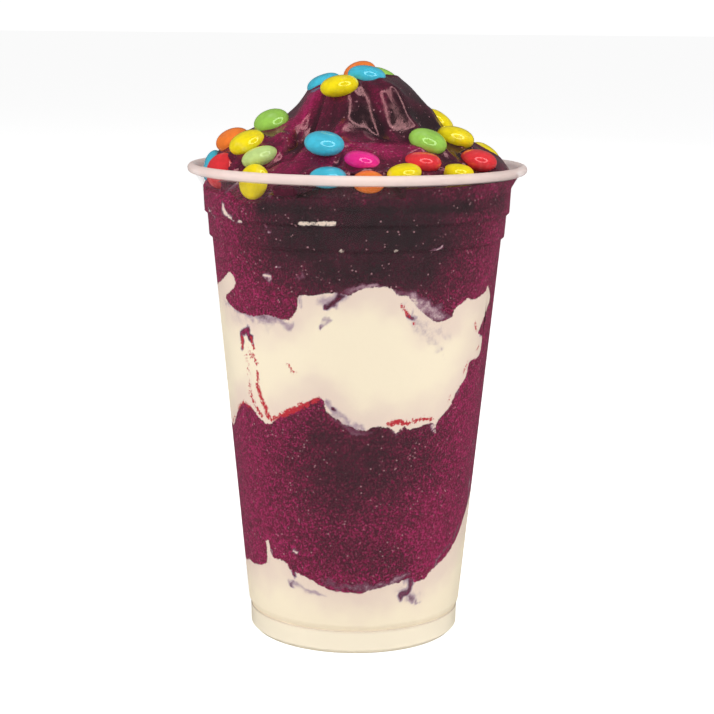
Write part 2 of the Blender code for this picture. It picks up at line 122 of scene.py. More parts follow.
# Mound, as the solids have it: summit, fall on four sides, swells and creases.
SUMMIT = (4.5, 4.5, 132.2)
MOUND_REACH = 36.4
MOUND_RIGHT = [
    (0, 1), (0.14, 0.98), (0.41, 0.61), (0.53, 0.43), (0.75, 0.28), (0.94, 0.12), (1, 0),
]
MOUND_LEFT = [
    (0, 1), (0.25, 0.93), (0.40, 0.82), (0.46, 0.69), (0.54, 0.57), (0.75, 0.42), (0.92, 0.18), (1, 0),
]
MOUND_FRONT = [
    (0, 1), (0.18, 0.99), (0.30, 0.945), (0.40, 0.83), (0.51, 0.50), (0.58, 0.42), (0.66, 0.375),
    (0.74, 0.31), (0.82, 0.20), (0.93, 0.08), (1, 0),
]
MOUND_BACK = [
    (0, 1), (0.2, 0.92), (0.42, 0.65), (0.6, 0.44), (0.78, 0.26), (0.93, 0.12), (1, 0),
]
FOLDS = [
    (-3.8, -13.5, 6.0, 4.0, 86, 2.1),
    (-5.4, -13.0, 4.6, 0.9, 75, -1.6),
    (7.4, -11.8, 5.0, 3.0, -36, 2.0),
    (12.0, -13.6, 4.4, 3.0, -36, 2.0),
    (4.0, -15.4, 4.5, 2.0, -50, -2.6),
    (-13.2, -17.5, 6.0, 1.6, 70, -1.8),
    (-14.5, -9.0, 7.0, 2.2, 55, 1.0),
    (-17.5, -15.5, 4.0, 3.2, 20, 0.9),
    (-12.0, -26.0, 7.0, 4.0, 15, 0.9),
    (18.5, -5.0, 5.0, 2.4, -40, 0.9),
    (-10.0, 14.0, 8.0, 3.0, 50, 1.0),
    (12.0, 15.0, 8.0, 3.2, -50, 1.1),
    (1.0, 17.0, 7.0, 1.8, 85, -1.3),
]
# Finer creases and swells that only the finished mound has.
FINE_FOLDS = [
    (-13.9, -13.5, 3.4, 0.8, 85, -0.7), (-15.4, -18.6, 3.2, 0.7, 62, -0.8),
    (-18.6, -22.3, 3.2, 0.8, 12, -0.7), (-11.4, -8.0, 5.5, 1.2, 48, 0.9), (-9.5, -10.5, 5.0, 0.9, 55, -0.8),
    (-17.4, -15.4, 1.8, 1.5, 30, 0.9), (-3.2, -24.0, 2.6, 0.6, 8, -0.6), (-4.2, -28.0, 2.4, 0.8, 60, -0.7),
    (-10.4, -29.4, 2.2, 1.1, 20, 0.6), (13.0, -23.0, 2.6, 1.2, -20, 0.7), (21.6, -20.4, 3.2, 1.4, -35, 0.8),
    (24.8, -14.6, 2.0, 1.2, -50, 0.7), (30.2, -15.6, 2.8, 1.4, -50, 0.7), (26.0, -9.0, 6.0, 0.8, -50, 0.6),
    (7.4, -17.2, 2.6, 1.2, -50, 0.7), (14.0, -17.2, 3.6, 0.8, -35, -0.6), (2.5, -20.0, 3.0, 0.8, 20, -0.4),
    (-6.2, -18.2, 2.4, 0.7, 60, -0.5), (-22.0, -4.0, 5.0, 1.0, 20, -0.6),
    (-25.0, -17.0, 3.0, 1.0, 40, -0.5), (-14.0, 20.0, 6.0, 1.0, 40, -0.6), (8.0, 24.0, 6.0, 1.0, -30, -0.6),
    (20.0, 12.0, 5.0, 1.2, -60, 0.6), (-24.0, 12.0, 5.0, 1.2, 60, 0.6), (-2.0, 22.0, 5.0, 1.0, 10, 0.6),
    (-5.4, -13.0, 4.6, 0.9, 75, 1.3), (-4.0, -17.0, 3.0, 1.6, 25, 0.9), (4.6, -17.0, 3.2, 1.2, -50, 0.9),
    (6.0, -11.5, 5.0, 1.1, -48, -0.6), (13.2, -15.4, 3.0, 1.8, -38, 0.8),
]

# The view that the cream's outline is read in: where the eye is, in millimetres, how many degrees it looks
# down and is turned, and its lens and sensor in millimetres. The picture is square, read from its top left.
# The stage's camera stands there too.
EYE = (0.3, -424.1, 142.9)
EYE_DOWN = 10.32
EYE_TURN = 0.5
LENS = 90.86
SENSOR = 36.0
PICTURE_SIZE = 714
SIGHT_REACH = (370.0, 475.0)
SIGHT_STEPS = 2101
# Outline of the cream on the wall. Where it shows, it is places (across, down) in the picture, read in
# pixels. Where it is hidden, it is azimuth and height. The middle cream's three parts close in a ring.
MIDDLE_CREAM_TOP = [
    (489, 286), (486, 292), (475.9, 299.5), (468.4, 298.6), (462.8, 303.3), (455.2, 310), (451.5, 318.3),
    (438.3, 322.1), (427, 316.4), (414, 303.5), (408.2, 296.7), (396.9, 294.8), (391.3, 288.2),
    (378.1, 287.3), (362, 289.2), (348, 295.7), (332.9, 292.9), (316, 295.7), (299.1, 295.7), (297.2, 301),
    (297, 307), (293, 315.5), (287.8, 319.8), (280.3, 319.3), (267.1, 315.5), (250.2, 315.5),
    (237.9, 311.7), (229.5, 305.2), (224.8, 297.6), (225.7, 294.8), (232.5, 288), (234.2, 281),
    (231, 273.5), (227, 272.5), (222.9, 277.9),
]
MIDDLE_CREAM_BEHIND = [
    (-76, 84.4), (-90, 83), (-105, 84.5), (-122, 86.5), (-134, 83), (-150, 81.5), (-166, 84), (-180, 85.5),
    (-195, 86.8), (-210, 83), (-222, 79), (-232, 76.5), (-238, 73), (-235, 68.5), (-230, 63), (-218, 58.6),
    (-205, 57), (-192, 60.5), (-180, 59), (-165, 55.2), (-150, 56.5), (-135, 54), (-118, 56.8), (-104, 53),
    (-90, 51.5), (-80, 50.6),
]
MIDDLE_CREAM_LOW = [
    (233.2, 423.7), (235.1, 416.2), (237.9, 408.6), (242.6, 403), (250.2, 406.8), (255.8, 414.3),
    (261.4, 419.9), (268, 424), (284, 414.3), (299.1, 406.8), (314.1, 399.2), (322.5, 400), (326, 410.5),
    (336.7, 419.9), (351.8, 427.4), (364.9, 431), (374.3, 427.4), (389.4, 428.4), (396.9, 433.4),
    (404.4, 426.5), (410, 429.5), (430.8, 423), (435, 425), (435.5, 432.4), (437, 423.5), (442, 416.2),
    (451.5, 404.9), (457.1, 391.7), (466.5, 376.7), (470.3, 361.6), (477, 358.5), (480.8, 353),
    (482.3, 346), (483, 336), (479.2, 333.4), (482.5, 324), (487.5, 309.5), (491, 297),
]
BASE_CREAM_BEHIND_LEFT = [
    (-180, 21), (-165, 24), (-150, 21), (-130, 18), (-112, 20.5), (-90, 17.5), (-78, 17),
]
BASE_CREAM_TOP = [
    (248.6, 559.5), (255.9, 564.4), (265.5, 563.5), (266.3, 555), (266.5, 541.2), (268, 541), (270, 552),
    (273.8, 558.7), (280.3, 559.5), (286.8, 564.4), (290, 570), (306.3, 578.2), (316, 583.9),
    (330.7, 590.4), (348.6, 592.8), (361.6, 593.6), (371.3, 590.4), (387.6, 586.3), (397.4, 583),
    (412, 578.2), (414.2, 582.6), (425, 579), (429.9, 572.5), (441.3, 562), (449.4, 552.2), (455.9, 540.8),
    (461.3, 527.5),
]
BASE_CREAM_BEHIND_RIGHT = [
    (71, 29.5), (76, 32), (86, 35.5), (98, 36), (112, 33), (126, 30.5), (140, 29.5), (152, 24), (166, 23.5),
    (180, 21),
]
# An open outline is closed this many degrees round on either side, and this many millimetres under the floor.
OUTLINE_TURN, OUTLINE_FLOOR = 240, -20
# Strokes on the wall: azimuth and height of both ends, half width, amount.
# Small pieces of cream caught at the wall. The first, a pale bar along the front step, is a painted
# highlight.
SPECKS_AND_HIGHLIGHT = [
    (-20.4, 101.1, -8.0, 101.4, 0.40, 1), (-5.9, 95.4, -5.1, 95.4, 0.28, 1),
    (14.2, 95.3, 14.8, 95.3, 0.22, 1), (-48.1, 25.0, -47.6, 24.4, 0.42, 1),
    (-128, 97.5, -125, 98.2, 0.6, 1), (-150, 46, -148, 48, 0.5, 1), (150, 41, 152, 40.4, 0.5, 1),
    (161, 99, 168, 99.4, 0.45, 1), (-176, 94, -174.6, 94, 0.4, 1),
]
# Cream so thin that the acai darkens it. The strokes at azimuth 29 to 32, height 95.4, and at azimuth 16
# to 27, height 105, are painted highlights.
FILMS_AND_HIGHLIGHTS = [
    (-71.2, 102.4, -70.4, 102.0, 0.55, 0.9), (-70.4, 102.0, -67.6, 100.2, 0.35, 0.8),
    (-57.2, 102.8, -55.6, 101.8, 0.95, 1.0), (-55.6, 101.8, -51.9, 101.2, 0.55, 1.0),
    (-51.9, 101.2, -46.9, 100.6, 0.42, 1.0), (-35.6, 100.5, -32.4, 98.7, 0.42, 0.62),
    (-22.4, 89.4, -19.8, 89.1, 0.75, 0.42), (-37.0, 88.4, -35.2, 88.0, 0.62, 0.90),
    (-30.2, 90.9, -29.8, 90.7, 0.22, 0.80), (-20.6, 92.9, -19.8, 92.7, 0.6, 0.25),
    (29.0, 95.4, 32.0, 95.4, 0.42, 0.75), (-30.8, 24.4, -28.8, 23.9, 0.55, 0.90),
    (-41.2, 37.2, -40.7, 37.1, 0.35, 0.8), (-3.0, 86.5, 3.2, 87.3, 0.95, 0.60),
    (3.2, 87.3, 10.7, 86.9, 0.95, 0.62), (10.7, 86.9, 17.0, 85.5, 0.8, 0.55),
    (-13.5, 84.9, -5.0, 85.6, 0.8, 0.45), (21.0, 84.0, 27.0, 81.9, 2.3, 0.66),
    (27.0, 81.9, 36.0, 79.9, 2.1, 0.62), (36.0, 80.2, 41.5, 79.6, 0.9, 0.50),
    (-12.4, 60.2, -8.0, 57.6, 0.9, 0.40), (-8.0, 57.6, -3.4, 55.3, 0.9, 0.42),
    (-3.4, 55.3, 1.5, 54.0, 1.2, 0.46), (1.5, 54.0, 6.5, 53.9, 1.2, 0.44),
    (14.6, 54.3, 19.0, 54.1, 0.75, 0.55), (48.4, 62.6, 50.6, 60.8, 0.8, 0.55),
    (35.4, 55.4, 36.9, 52.9, 0.45, 0.7), (-14.0, 17.7, -4.4, 16.8, 1.1, 0.40),
    (-4.4, 16.8, 7.0, 16.5, 1.3, 0.44), (7.0, 16.5, 18.0, 17.0, 1.3, 0.50),
    (18.0, 17.0, 28.0, 18.6, 1.1, 0.54), (42.0, 20.0, 58.0, 24.4, 0.5, 0.5),
    (58.0, 24.6, 66.0, 28.4, 0.6, 0.5), (-46.2, 24.2, -46.3, 20.4, 0.45, 0.75),
    (-71.0, 42.0, -70.2, 36.8, 0.5, 0.35), (72.0, 47.0, 73.0, 43.0, 0.6, 0.5),
    (74.5, 38.0, 76.0, 31.0, 0.8, 0.6), (-35.0, 108.3, -24.0, 108.1, 1.5, 1.0),
    (-46.5, 108.4, -35.0, 108.6, 1.5, 0.95), (-58.0, 108.3, -46.0, 108.3, 1.3, 0.55),
    (-54.5, 108.9, -49.0, 106.8, 0.35, 0.95), (33.0, 107.7, 38.0, 107.4, 0.8, 0.22),
    (16.0, 104.9, 27.0, 105.1, 1.2, 0.14), (-166, 86.2, -150, 84.6, 1.3, 0.6),
    (-126, 56.6, -110, 57.4, 1.2, 0.6), (150, 57.4, 168, 56.8, 1.2, 0.6), (-150, 20, -128, 18.4, 1.2, 0.6),
    (120, 32, 136, 30.4, 1.3, 0.6), (-104, 40, -102, 40.6, 0.6, 0.8), (116, 90, 120, 91, 0.8, 0.7),
]
# Acai that shows through the cream.
ACAI_BRUISES = [
    (-11.6, 82.2, -5.4, 85.2, 0.75, 0.95), (-12.8, 83.4, -5.0, 85.6, 2.0, 0.46),
    (-15.2, 77.3, -12.9, 78.6, 0.50, 0.66), (-13.0, 78.6, -10.5, 79.9, 0.75, 0.42),
    (-68.0, 81.0, -57.0, 80.4, 1.1, 0.42), (-57.0, 80.2, -48.9, 79.5, 1.6, 0.52),
    (-48.9, 79.5, -40.0, 79.0, 1.7, 0.54), (-40.0, 79.0, -33.6, 78.6, 1.5, 0.50),
    (-33.6, 78.6, -26.2, 78.2, 1.2, 0.50), (-62.0, 78.0, -36.0, 77.0, 3.4, 0.24),
    (-22.2, 84.6, -22.0, 82.4, 0.9, 0.40), (-54.8, 71.4, -54.0, 74.2, 0.80, 0.9),
    (-53.2, 74.8, -50.2, 75.5, 0.90, 1.0), (-49.8, 75.2, -48.0, 74.2, 0.55, 1.0),
    (-48.0, 74.2, -46.7, 71.6, 0.42, 0.95), (23.0, 79.8, 31.0, 75.2, 2.8, 0.30),
    (30.0, 75.6, 36.5, 72.4, 1.5, 0.30), (33.0, 77.4, 41.0, 75.0, 1.9, 0.28),
    (19.0, 83.6, 23.0, 77.6, 1.0, 0.32), (21.5, 80.9, 23.6, 80.2, 0.60, 0.90),
    (26.5, 78.8, 27.6, 76.2, 0.7, 0.22), (37.0, 70.9, 39.6, 69.5, 0.45, 0.36),
    (57.0, 72.4, 58.8, 70.2, 0.5, 0.22), (64.5, 75.6, 66.0, 73.6, 0.8, 0.6),
    (-32.8, 17.0, -25.0, 15.3, 1.0, 0.42), (-25.0, 15.2, -19.0, 14.7, 0.9, 0.45),
    (-19.0, 14.8, -13.4, 14.5, 0.8, 0.36), (-30.8, 19.1, -29.2, 18.4, 0.65, 0.85),
    (-32.4, 17.0, -31.6, 15.6, 0.6, 0.60), (-20.5, 14.4, -19.2, 14.2, 0.35, 0.5),
    (-11.4, 60.9, -6.4, 58.0, 1.25, 0.44), (-6.4, 58.0, -2.2, 56.1, 1.35, 0.44),
    (-2.2, 56.1, 3.6, 54.9, 1.2, 0.44), (3.6, 54.9, 10.0, 55.0, 0.8, 0.42),
    (30.6, 17.6, 27.4, 15.6, 1.15, 0.74), (27.4, 15.6, 25.4, 13.8, 1.10, 0.72),
    (28.0, 13.6, 31.0, 12.4, 1.0, 0.55), (34.0, 12.1, 35.4, 11.7, 0.6, 0.62),
    (24.5, 15.6, 33.0, 12.4, 2.8, 0.30), (-8.8, 59.7, -8.2, 59.5, 0.32, 0.95),
    (-47.6, 23.6, -46.6, 19.4, 0.9, 0.25), (-72.0, 62.0, -74.0, 70.0, 1.2, 0.16),
    (-166, 69, -152, 72, 2.0, 0.4), (166, 82.6, 174, 81.6, 1.4, 0.6), (-122, 79, -118, 82, 1.2, 0.6),
    (142, 65, 148, 67, 1.4, 0.5), (-98, 13.6, -91, 14.6, 1.2, 0.5),
]
# Red juice drawn along the cream.
RED_STREAKS = [
    (-54.9, 71.2, -54.3, 73.6, 0.6, 0.8), (-48.2, 74.0, -46.6, 71.4, 0.4, 0.8),
    (-50.4, 70.8, -48.8, 69.4, 0.6, 0.50), (-47.8, 70.0, -45.3, 67.8, 0.5, 0.62),
    (-52.6, 69.0, -51.4, 65.0, 0.9, 0.30), (-45.5, 66.0, -45.8, 63.4, 0.40, 0.95),
    (-46.4, 62.6, -45.2, 60.8, 0.62, 0.95), (-45.2, 60.8, -42.6, 58.2, 0.68, 1.0),
    (-42.6, 58.2, -40.6, 55.9, 0.68, 1.0), (-51.4, 63.0, -52.0, 60.8, 0.7, 0.45),
    (-52.2, 61.0, -49.2, 58.1, 0.55, 0.66), (-49.2, 58.1, -45.0, 55.6, 0.5, 0.70),
    (-39.0, 55.4, -33.9, 56.4, 0.55, 0.80), (-33.9, 56.5, -29.7, 57.7, 0.72, 1.0),
    (-29.7, 57.8, -25.2, 59.0, 0.75, 1.0), (-25.2, 59.0, -21.0, 60.0, 0.60, 0.95),
    (-21.0, 60.0, -15.6, 61.5, 0.50, 0.92), (-29.0, 69.0, -25.8, 66.6, 0.5, 0.36),
    (14.4, 55.7, 19.2, 56.3, 0.58, 1.0), (19.2, 56.3, 23.8, 55.6, 0.45, 1.0),
    (25.2, 56.0, 30.5, 56.5, 0.48, 1.0), (30.5, 56.5, 35.0, 56.0, 0.42, 1.0),
    (17.6, 83.0, 18.8, 82.2, 0.42, 0.78), (19.4, 82.0, 21.0, 80.4, 0.45, 0.76),
    (23.0, 79.4, 23.6, 78.4, 0.3, 0.5), (57.2, 77.0, 60.0, 75.0, 0.40, 0.60),
    (61.0, 70.0, 64.0, 71.2, 0.35, 0.52), (52.0, 65.3, 54.8, 68.0, 0.35, 0.50),
    (43.0, 59.2, 45.0, 61.0, 0.4, 0.4), (-65.0, 55.6, -58.0, 57.8, 0.42, 0.66),
    (-58.0, 57.8, -52.0, 57.0, 0.42, 0.60), (-74.5, 51.5, -71.0, 53.0, 0.5, 0.6),
    (-150, 58, -149, 63, 0.6, 0.8), (171, 61.6, 179, 62.4, 0.5, 0.8), (-114, 55.2, -106, 55.8, 0.5, 0.8),
]
# Films and bruises are pushed about by swells this wide and this high, in millimetres.
SMUDGE_SIZE, SMUDGE_SHIFT = 2.4, 1.2
# Dense dark acai, with little air in it. The broad strokes across the front are also painted shade, which
# leaves the sides lighter.
DARK_ACAI_AND_FRONT_SHADE = [
    (48, 104, 66, 104.4, 4.5, 0.70), (-20, 99, 26, 99, 17, 1.0), (-12, 91, 26, 91, 11, 0.95),
    (-36, 104.0, 44, 104.4, 3.8, 1.0), (-40, 98, 48, 98, 9, 0.6), (-5, 44, 12, 48, 17.5, 0.76),
    (-14, 52, 4, 50, 8, 0.70), (-14, 28, 14, 23, 9.5, 0.50), (-170, 99, -130, 99, 11, 0.8),
    (125, 96, 155, 97, 10, 0.7), (-130, 40, -112, 44, 13, 0.5), (148, 38, 172, 42, 14, 0.6),
]
# Broad light and dark parts of the open mound: partly its own uneven colour, partly painted light and shade
# (a lighter left flank under the highlight along it, darker insides of the two ring highlights, a darker
# right side). Each is x, y, length, width, turn, amount (dark is below 0).
MOUND_TONES_AND_SHADE = [
    (-12.5, -7.0, 7.0, 3.2, 40, 0.80), (-13.0, -24.0, 14.0, 6.0, 10, 0.46), (5.0, -24.0, 9.0, 3.6, 0, 0.70),
    (-26.0, -6.0, 8.0, 12.0, 0, 0.16), (20.0, -14.0, 10.0, 9.0, -30, -0.34),
    (14.0, -4.0, 8.0, 7.0, -40, -0.40), (0.0, -13.6, 4.0, 3.0, 80, -0.60),
    (9.5, -12.6, 4.0, 2.6, -36, -0.52), (0.0, 2.0, 9.0, 8.0, 0, -0.16), (26.0, -16.0, 8.0, 6.0, -30, -0.25),
    (-12.0, 20.0, 14.0, 6.0, 20, 0.30), (14.0, 18.0, 10.0, 6.0, -20, 0.18),
]


def smooth_curve(points, where, period=None):
    """Read a curve through (place, value) points that never swings past them; period makes it close up."""
    places = np.array([place for place, _ in points], float)
    values = np.array([value for _, value in points], float)
    if period:
        places = np.concatenate([places - period, places, places + period])
        values = np.tile(values, 3)
    slopes = np.diff(values) / np.diff(places)
    before = np.concatenate([slopes[:1], slopes])
    after = np.concatenate([slopes, slopes[-1:]])
    product = before * after
    total = np.where(product > 0, before + after, 1.0)
    tangents = np.where(product > 0, 2 * product / total, 0.0)
    where = np.asarray(where, float)
    piece = np.clip(np.searchsorted(places, where, side="right") - 1, 0, len(slopes) - 1)
    span = places[piece + 1] - places[piece]
    t = np.clip((where - places[piece]) / span, 0, 1)
    start = (2 * t**3 - 3 * t**2 + 1) * values[piece] + (t**3 - 2 * t**2 + t) * span * tangents[piece]
    end = (3 * t**2 - 2 * t**3) * values[piece + 1] + (t**3 - t**2) * span * tangents[piece + 1]
    return start + end


def on_wall(points, azimuth):
    """Read an edge list round the cup at azimuths in degrees."""
    return smooth_curve(points, azimuth, period=360)


def smooth_step(low, high, value):
    """Rise smoothly from 0 at low to 1 at high."""
    t = np.clip((value - low) / (high - low), 0, 1)
    return t * t * (3 - 2 * t)


def inside_radius(height):
    """Give the radius of the cup's inside at a height, with the rounded corner at its floor."""
    radius = np.interp(height, [wall_height for _, wall_height in INNER_WALL], [r for r, _ in INNER_WALL])
    sink = np.clip(FLOOR_TOP + FLOOR_CORNER - height, 0, FLOOR_CORNER)
    return radius - FLOOR_CORNER + np.sqrt(np.maximum(FLOOR_CORNER**2 - sink**2, 0))


def folded(x, y, folds):
    """Add up swells and creases over a place in plan."""
    total = np.zeros_like(x)
    for fold_x, fold_y, length, width, turn, rise in folds:
        cosine, sine = math.cos(math.radians(turn)), math.sin(math.radians(turn))
        lengthwise = (x - fold_x) * cosine + (y - fold_y) * sine
        crosswise = (y - fold_y) * cosine - (x - fold_x) * sine
        total = total + rise * np.exp(-((lengthwise / length) ** 2) - (crosswise / width) ** 2)
    return total


def mound_height(x, y):
    """Give the height of the mound's surface over a place in plan, as the solid has it."""
    dx, dy = x - SUMMIT[0], y - SUMMIT[1]
    distance = np.hypot(dx, dy) + 1e-9
    ux, uy = dx / distance, dy / distance
    along = SUMMIT[0] * ux + SUMMIT[1] * uy
    reach = np.sqrt(along**2 + MOUND_REACH**2 - SUMMIT[0] ** 2 - SUMMIT[1] ** 2) - along
    fraction = np.minimum(distance / reach, 1.0)
    azimuth = np.degrees(np.arctan2(SUMMIT[0] + ux * reach, -SUMMIT[1] - uy * reach))
    edge = on_wall(ACAI_EDGE, azimuth)
    fall = np.maximum(ux, 0) ** 2 * smooth_curve(MOUND_RIGHT, fraction)
    fall = fall + np.maximum(-ux, 0) ** 2 * smooth_curve(MOUND_LEFT, fraction)
    fall = fall + np.maximum(-uy, 0) ** 2 * smooth_curve(MOUND_FRONT, fraction)
    fall = fall + np.maximum(uy, 0) ** 2 * smooth_curve(MOUND_BACK, fraction)
    return edge + (SUMMIT[2] - edge) * fall + folded(x, y, FOLDS)


def layered_noise(places, size, layers=2):
    """Read smooth noise, about -1 to 1, at places in millimetres; size is the width of its largest swells."""
    values = np.zeros(len(places))
    for layer in range(layers):
        scale = 2**layer / size
        values += np.array([noise.noise(Vector(place) * scale) for place in places]) / 2**layer
    return values


def turned(name, stops, steps):
    """Turn a section about Z into a closed skin. Each stop is (radius, height, cuts before the next one)."""
    shape = bmesh.new()
    last = shape.verts.new((stops[0][0], 0.0, stops[0][1]))
    for (radius, height, cuts), (next_radius, next_height, _) in zip(stops, stops[1:]):
        for step in range(1, cuts + 2):
            share = step / (cuts + 1)
            last = bmesh.ops.extrude_vert_indiv(shape, verts=[last])["verts"][0]
            last.co = (radius + (next_radius - radius) * share, 0.0, height + (next_height - height) * share)
    section = shape.verts[:] + shape.edges[:]
    bmesh.ops.spin(shape, geom=section, cent=(0, 0, 0), axis=(0, 0, 1), dvec=(0, 0, 0), angle=math.tau,
                   steps=steps, use_merge=True)
    bmesh.ops.remove_doubles(shape, verts=shape.verts[:], dist=1e-6)
    bmesh.ops.recalc_face_normals(shape, faces=shape.faces[:])
    mesh = bpy.data.meshes.new(name)
    shape.to_mesh(mesh)
    shape.free()
    mesh.shade_smooth()
    return mesh


def read_places(mesh):
    """Give a mesh's vertex places as an array."""
    places = np.empty(len(mesh.vertices) * 3, np.float32)
    mesh.vertices.foreach_get("co", places)
    return places.reshape(-1, 3).astype(float)


def write_places(mesh, places):
    """Move a mesh's vertices to places given in millimetres."""
    mesh.vertices.foreach_set("co", (places * MM).astype(np.float32).ravel())
    mesh.update()


def write_attribute(mesh, name, values):
    """Store one number for each vertex, for the material to read."""
    attribute = mesh.attributes.new(name, "FLOAT", "POINT")
    attribute.data.foreach_set("value", values.astype(np.float32))


def add_piece(mesh, slot, *nodes):
    """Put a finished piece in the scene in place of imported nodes."""
    piece = bpy.data.objects.new(mesh.name, mesh)
    bpy.context.scene.collection.objects.link(piece)
    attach(piece, "root")
    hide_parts(*nodes)
    return piece


def rounded_line(points, closed=True, pieces=4):
    """Run a soft curve through listed points."""
    points = np.array(points, float)
    before, after = np.roll(points, 1, 0), np.roll(points, -1, 0)
    second = np.roll(points, -2, 0)
    if not closed:
        before[0], after[-1], second[-1], second[-2] = points[0], points[-1], points[-1], points[-1]
    line = []
    for t in np.arange(pieces) / pieces:
        curve = 2 * points + (after - before) * t + (2 * before - 5 * points + 4 * after - second) * t**2
        line.append(0.5 * (curve + (3 * points - before - 3 * after + second) * t**3))
    line = np.stack(line, 1).reshape(-1, 2)
    return line if closed else line[: (len(points) - 1) * pieces + 1]


def wall_spread(azimuth, height):
    """Say how far round the wall places are from the front, in millimetres."""
    return np.radians(azimuth) * inside_radius(height)


def wall_place(across, down):
    """Give the azimuth and height at which the cup is seen through one pixel of the picture."""
    focal = LENS / SENSOR * PICTURE_SIZE
    aim = Vector((across - PICTURE_SIZE / 2, PICTURE_SIZE / 2 - down, -focal)) / focal
    level, turn = math.radians(90 - EYE_DOWN), math.radians(EYE_TURN)
    tilt = Matrix.Rotation(level, 3, "X") @ Matrix.Rotation(turn, 3, "Z")
    distance = np.linspace(*SIGHT_REACH, SIGHT_STEPS)
    x, y, height = (start + step * distance for start, step in zip(EYE, tilt @ aim))
    first = np.argmax(np.hypot(x, y) <= inside_radius(height) + WALL)
    return math.degrees(math.atan2(x[first], -y[first])), float(height[first])


def outline_distance(azimuth, height, outline):
    """Give how far places on the wall are inside a closed outline, in millimetres; outside is below 0."""
    across, up = wall_spread(azimuth, height), height
    line_across, line_up = wall_spread(outline[:, 0], outline[:, 1]), outline[:, 1]
    nearest = np.full(len(across), 1e9)
    inside = np.zeros(len(across), bool)
    for index in range(len(outline)):
        ax, ay = line_across[index - 1], line_up[index - 1]
        bx, by = line_across[index], line_up[index]
        length = max((bx - ax) ** 2 + (by - ay) ** 2, 1e-9)
        t = np.clip(((across - ax) * (bx - ax) + (up - ay) * (by - ay)) / length, 0, 1)
        nearest = np.minimum(nearest, (across - ax - t * (bx - ax)) ** 2 + (up - ay - t * (by - ay)) ** 2)
        crosses = (ay > up) != (by > up)
        reach = ax + (up - ay) * (bx - ax) / (by - ay if by != ay else 1e-9)
        inside ^= crosses & (across < reach)
    return np.where(inside, 1, -1) * np.sqrt(nearest)


def stroke_distance(azimuth, height, stroke):
    """Give how far places on the wall are from a stroke's middle line, in its own half widths."""
    from_azimuth, from_height, to_azimuth, to_height, half_width, _ = stroke
    middle = (from_azimuth + to_azimuth) / 2
    across = np.radians((azimuth - middle + 180) % 360 - 180) * inside_radius(height)
    ax, bx = (math.radians(end - middle) * inside_radius(level) for end, level in (
        (from_azimuth, from_height), (to_azimuth, to_height)))
    step_across, step_up = bx - ax, to_height - from_height
    from_across, from_up = across - ax, height - from_height
    length = max(step_across**2 + step_up**2, 1e-9)
    along = np.clip((from_across * step_across + from_up * step_up) / length, 0, 1)
    gap = np.hypot(from_across - along * step_across, from_up - along * step_up)
    return gap / half_width


def cream_depth(azimuth, height):
    """Give how far places on the wall are inside cream, in millimetres; in acai it is below 0."""
    top, low, base_top_seen = (
        [wall_place(across, down) for across, down in seen]
        for seen in (MIDDLE_CREAM_TOP, MIDDLE_CREAM_LOW, BASE_CREAM_TOP))
    middle = rounded_line(top + MIDDLE_CREAM_BEHIND + low)
    base = rounded_line(BASE_CREAM_BEHIND_LEFT + base_top_seen + BASE_CREAM_BEHIND_RIGHT, closed=False)
    corners = [(OUTLINE_TURN, base[-1][1]), (OUTLINE_TURN, OUTLINE_FLOOR), (-OUTLINE_TURN, OUTLINE_FLOOR)]
    base = np.concatenate([[(-OUTLINE_TURN, base[0][1])], base, corners])
    depth = outline_distance(azimuth, height, base)
    for round_again in (0, 360):
        depth = np.maximum(depth, outline_distance(azimuth - round_again, height, middle))
    # The first speck is a painted highlight on the front step, drawn in cream.
    for speck in SPECKS_AND_HIGHLIGHT:
        depth = np.maximum(depth, (1 - stroke_distance(azimuth, height, speck)) * speck[4])
    return depth


def stroke_amount(azimuth, height, strokes, faint=3.0, strong=3.0):
    """Lay strokes on the wall, firmer-edged where stronger; where they cross, the strongest counts."""
    amount = np.zeros(len(azimuth))
    for stroke in strokes:
        firmness = faint + (strong - faint) * stroke[5]
        fade = np.exp(-(stroke_distance(azimuth, height, stroke) ** firmness))
        amount = np.maximum(amount, stroke[5] * fade)
    return amount


def paint_wall(mesh, places, open_share):
    """Store on each vertex what the contents show at the wall; open_share is 1 where the mound is open."""
    azimuth = np.degrees(np.arctan2(places[:, 0], -places[:, 1]))
    height = places[:, 2]
    covered = 1 - open_share
    across, up = (layered_noise(places + start, SMUDGE_SIZE) * SMUDGE_SHIFT for start in (0, 50))
    smudged = azimuth + np.degrees(across / inside_radius(height)), height + up
    write_attribute(mesh, "cream_depth", cream_depth(azimuth, height) * covered - 4 * open_share)
    write_attribute(mesh, "cream_film", stroke_amount(*smudged, FILMS_AND_HIGHLIGHTS, 1.3, 2.8) * covered)
    write_attribute(mesh, "acai_bruise", stroke_amount(*smudged, ACAI_BRUISES, 1.2, 2.2) * covered)
    write_attribute(mesh, "red_streak", stroke_amount(azimuth, height, RED_STREAKS) * covered)
    # The dense-acai strokes hold dense acai, and painted shade across the front.
    write_attribute(mesh, "dark_acai", stroke_amount(azimuth, height, DARK_ACAI_AND_FRONT_SHADE, 1.7, 1.7) * covered)


def layer_face(share, azimuth, edge, centre, rings):
    """Bend a layer's upper or under face from its centre to its edge, with one last ring out to the wall."""
    inner = np.minimum(share * (rings + 1) / rings, 1)
    return centre + (edge - centre) * inner**2, inner


def joined(azimuth):
    """Say how far, from 0 to 1, the two acai layers meet in front of the middle cream."""
    around = azimuth % 360
    begun, ended = (smooth_step(turn - 1, turn + 1, around) for turn in (JOINED_FROM, JOINED_TO))
    return begun * (1 - ended)


FACE_RINGS = 10
SHARP_TURN = math.radians(50)


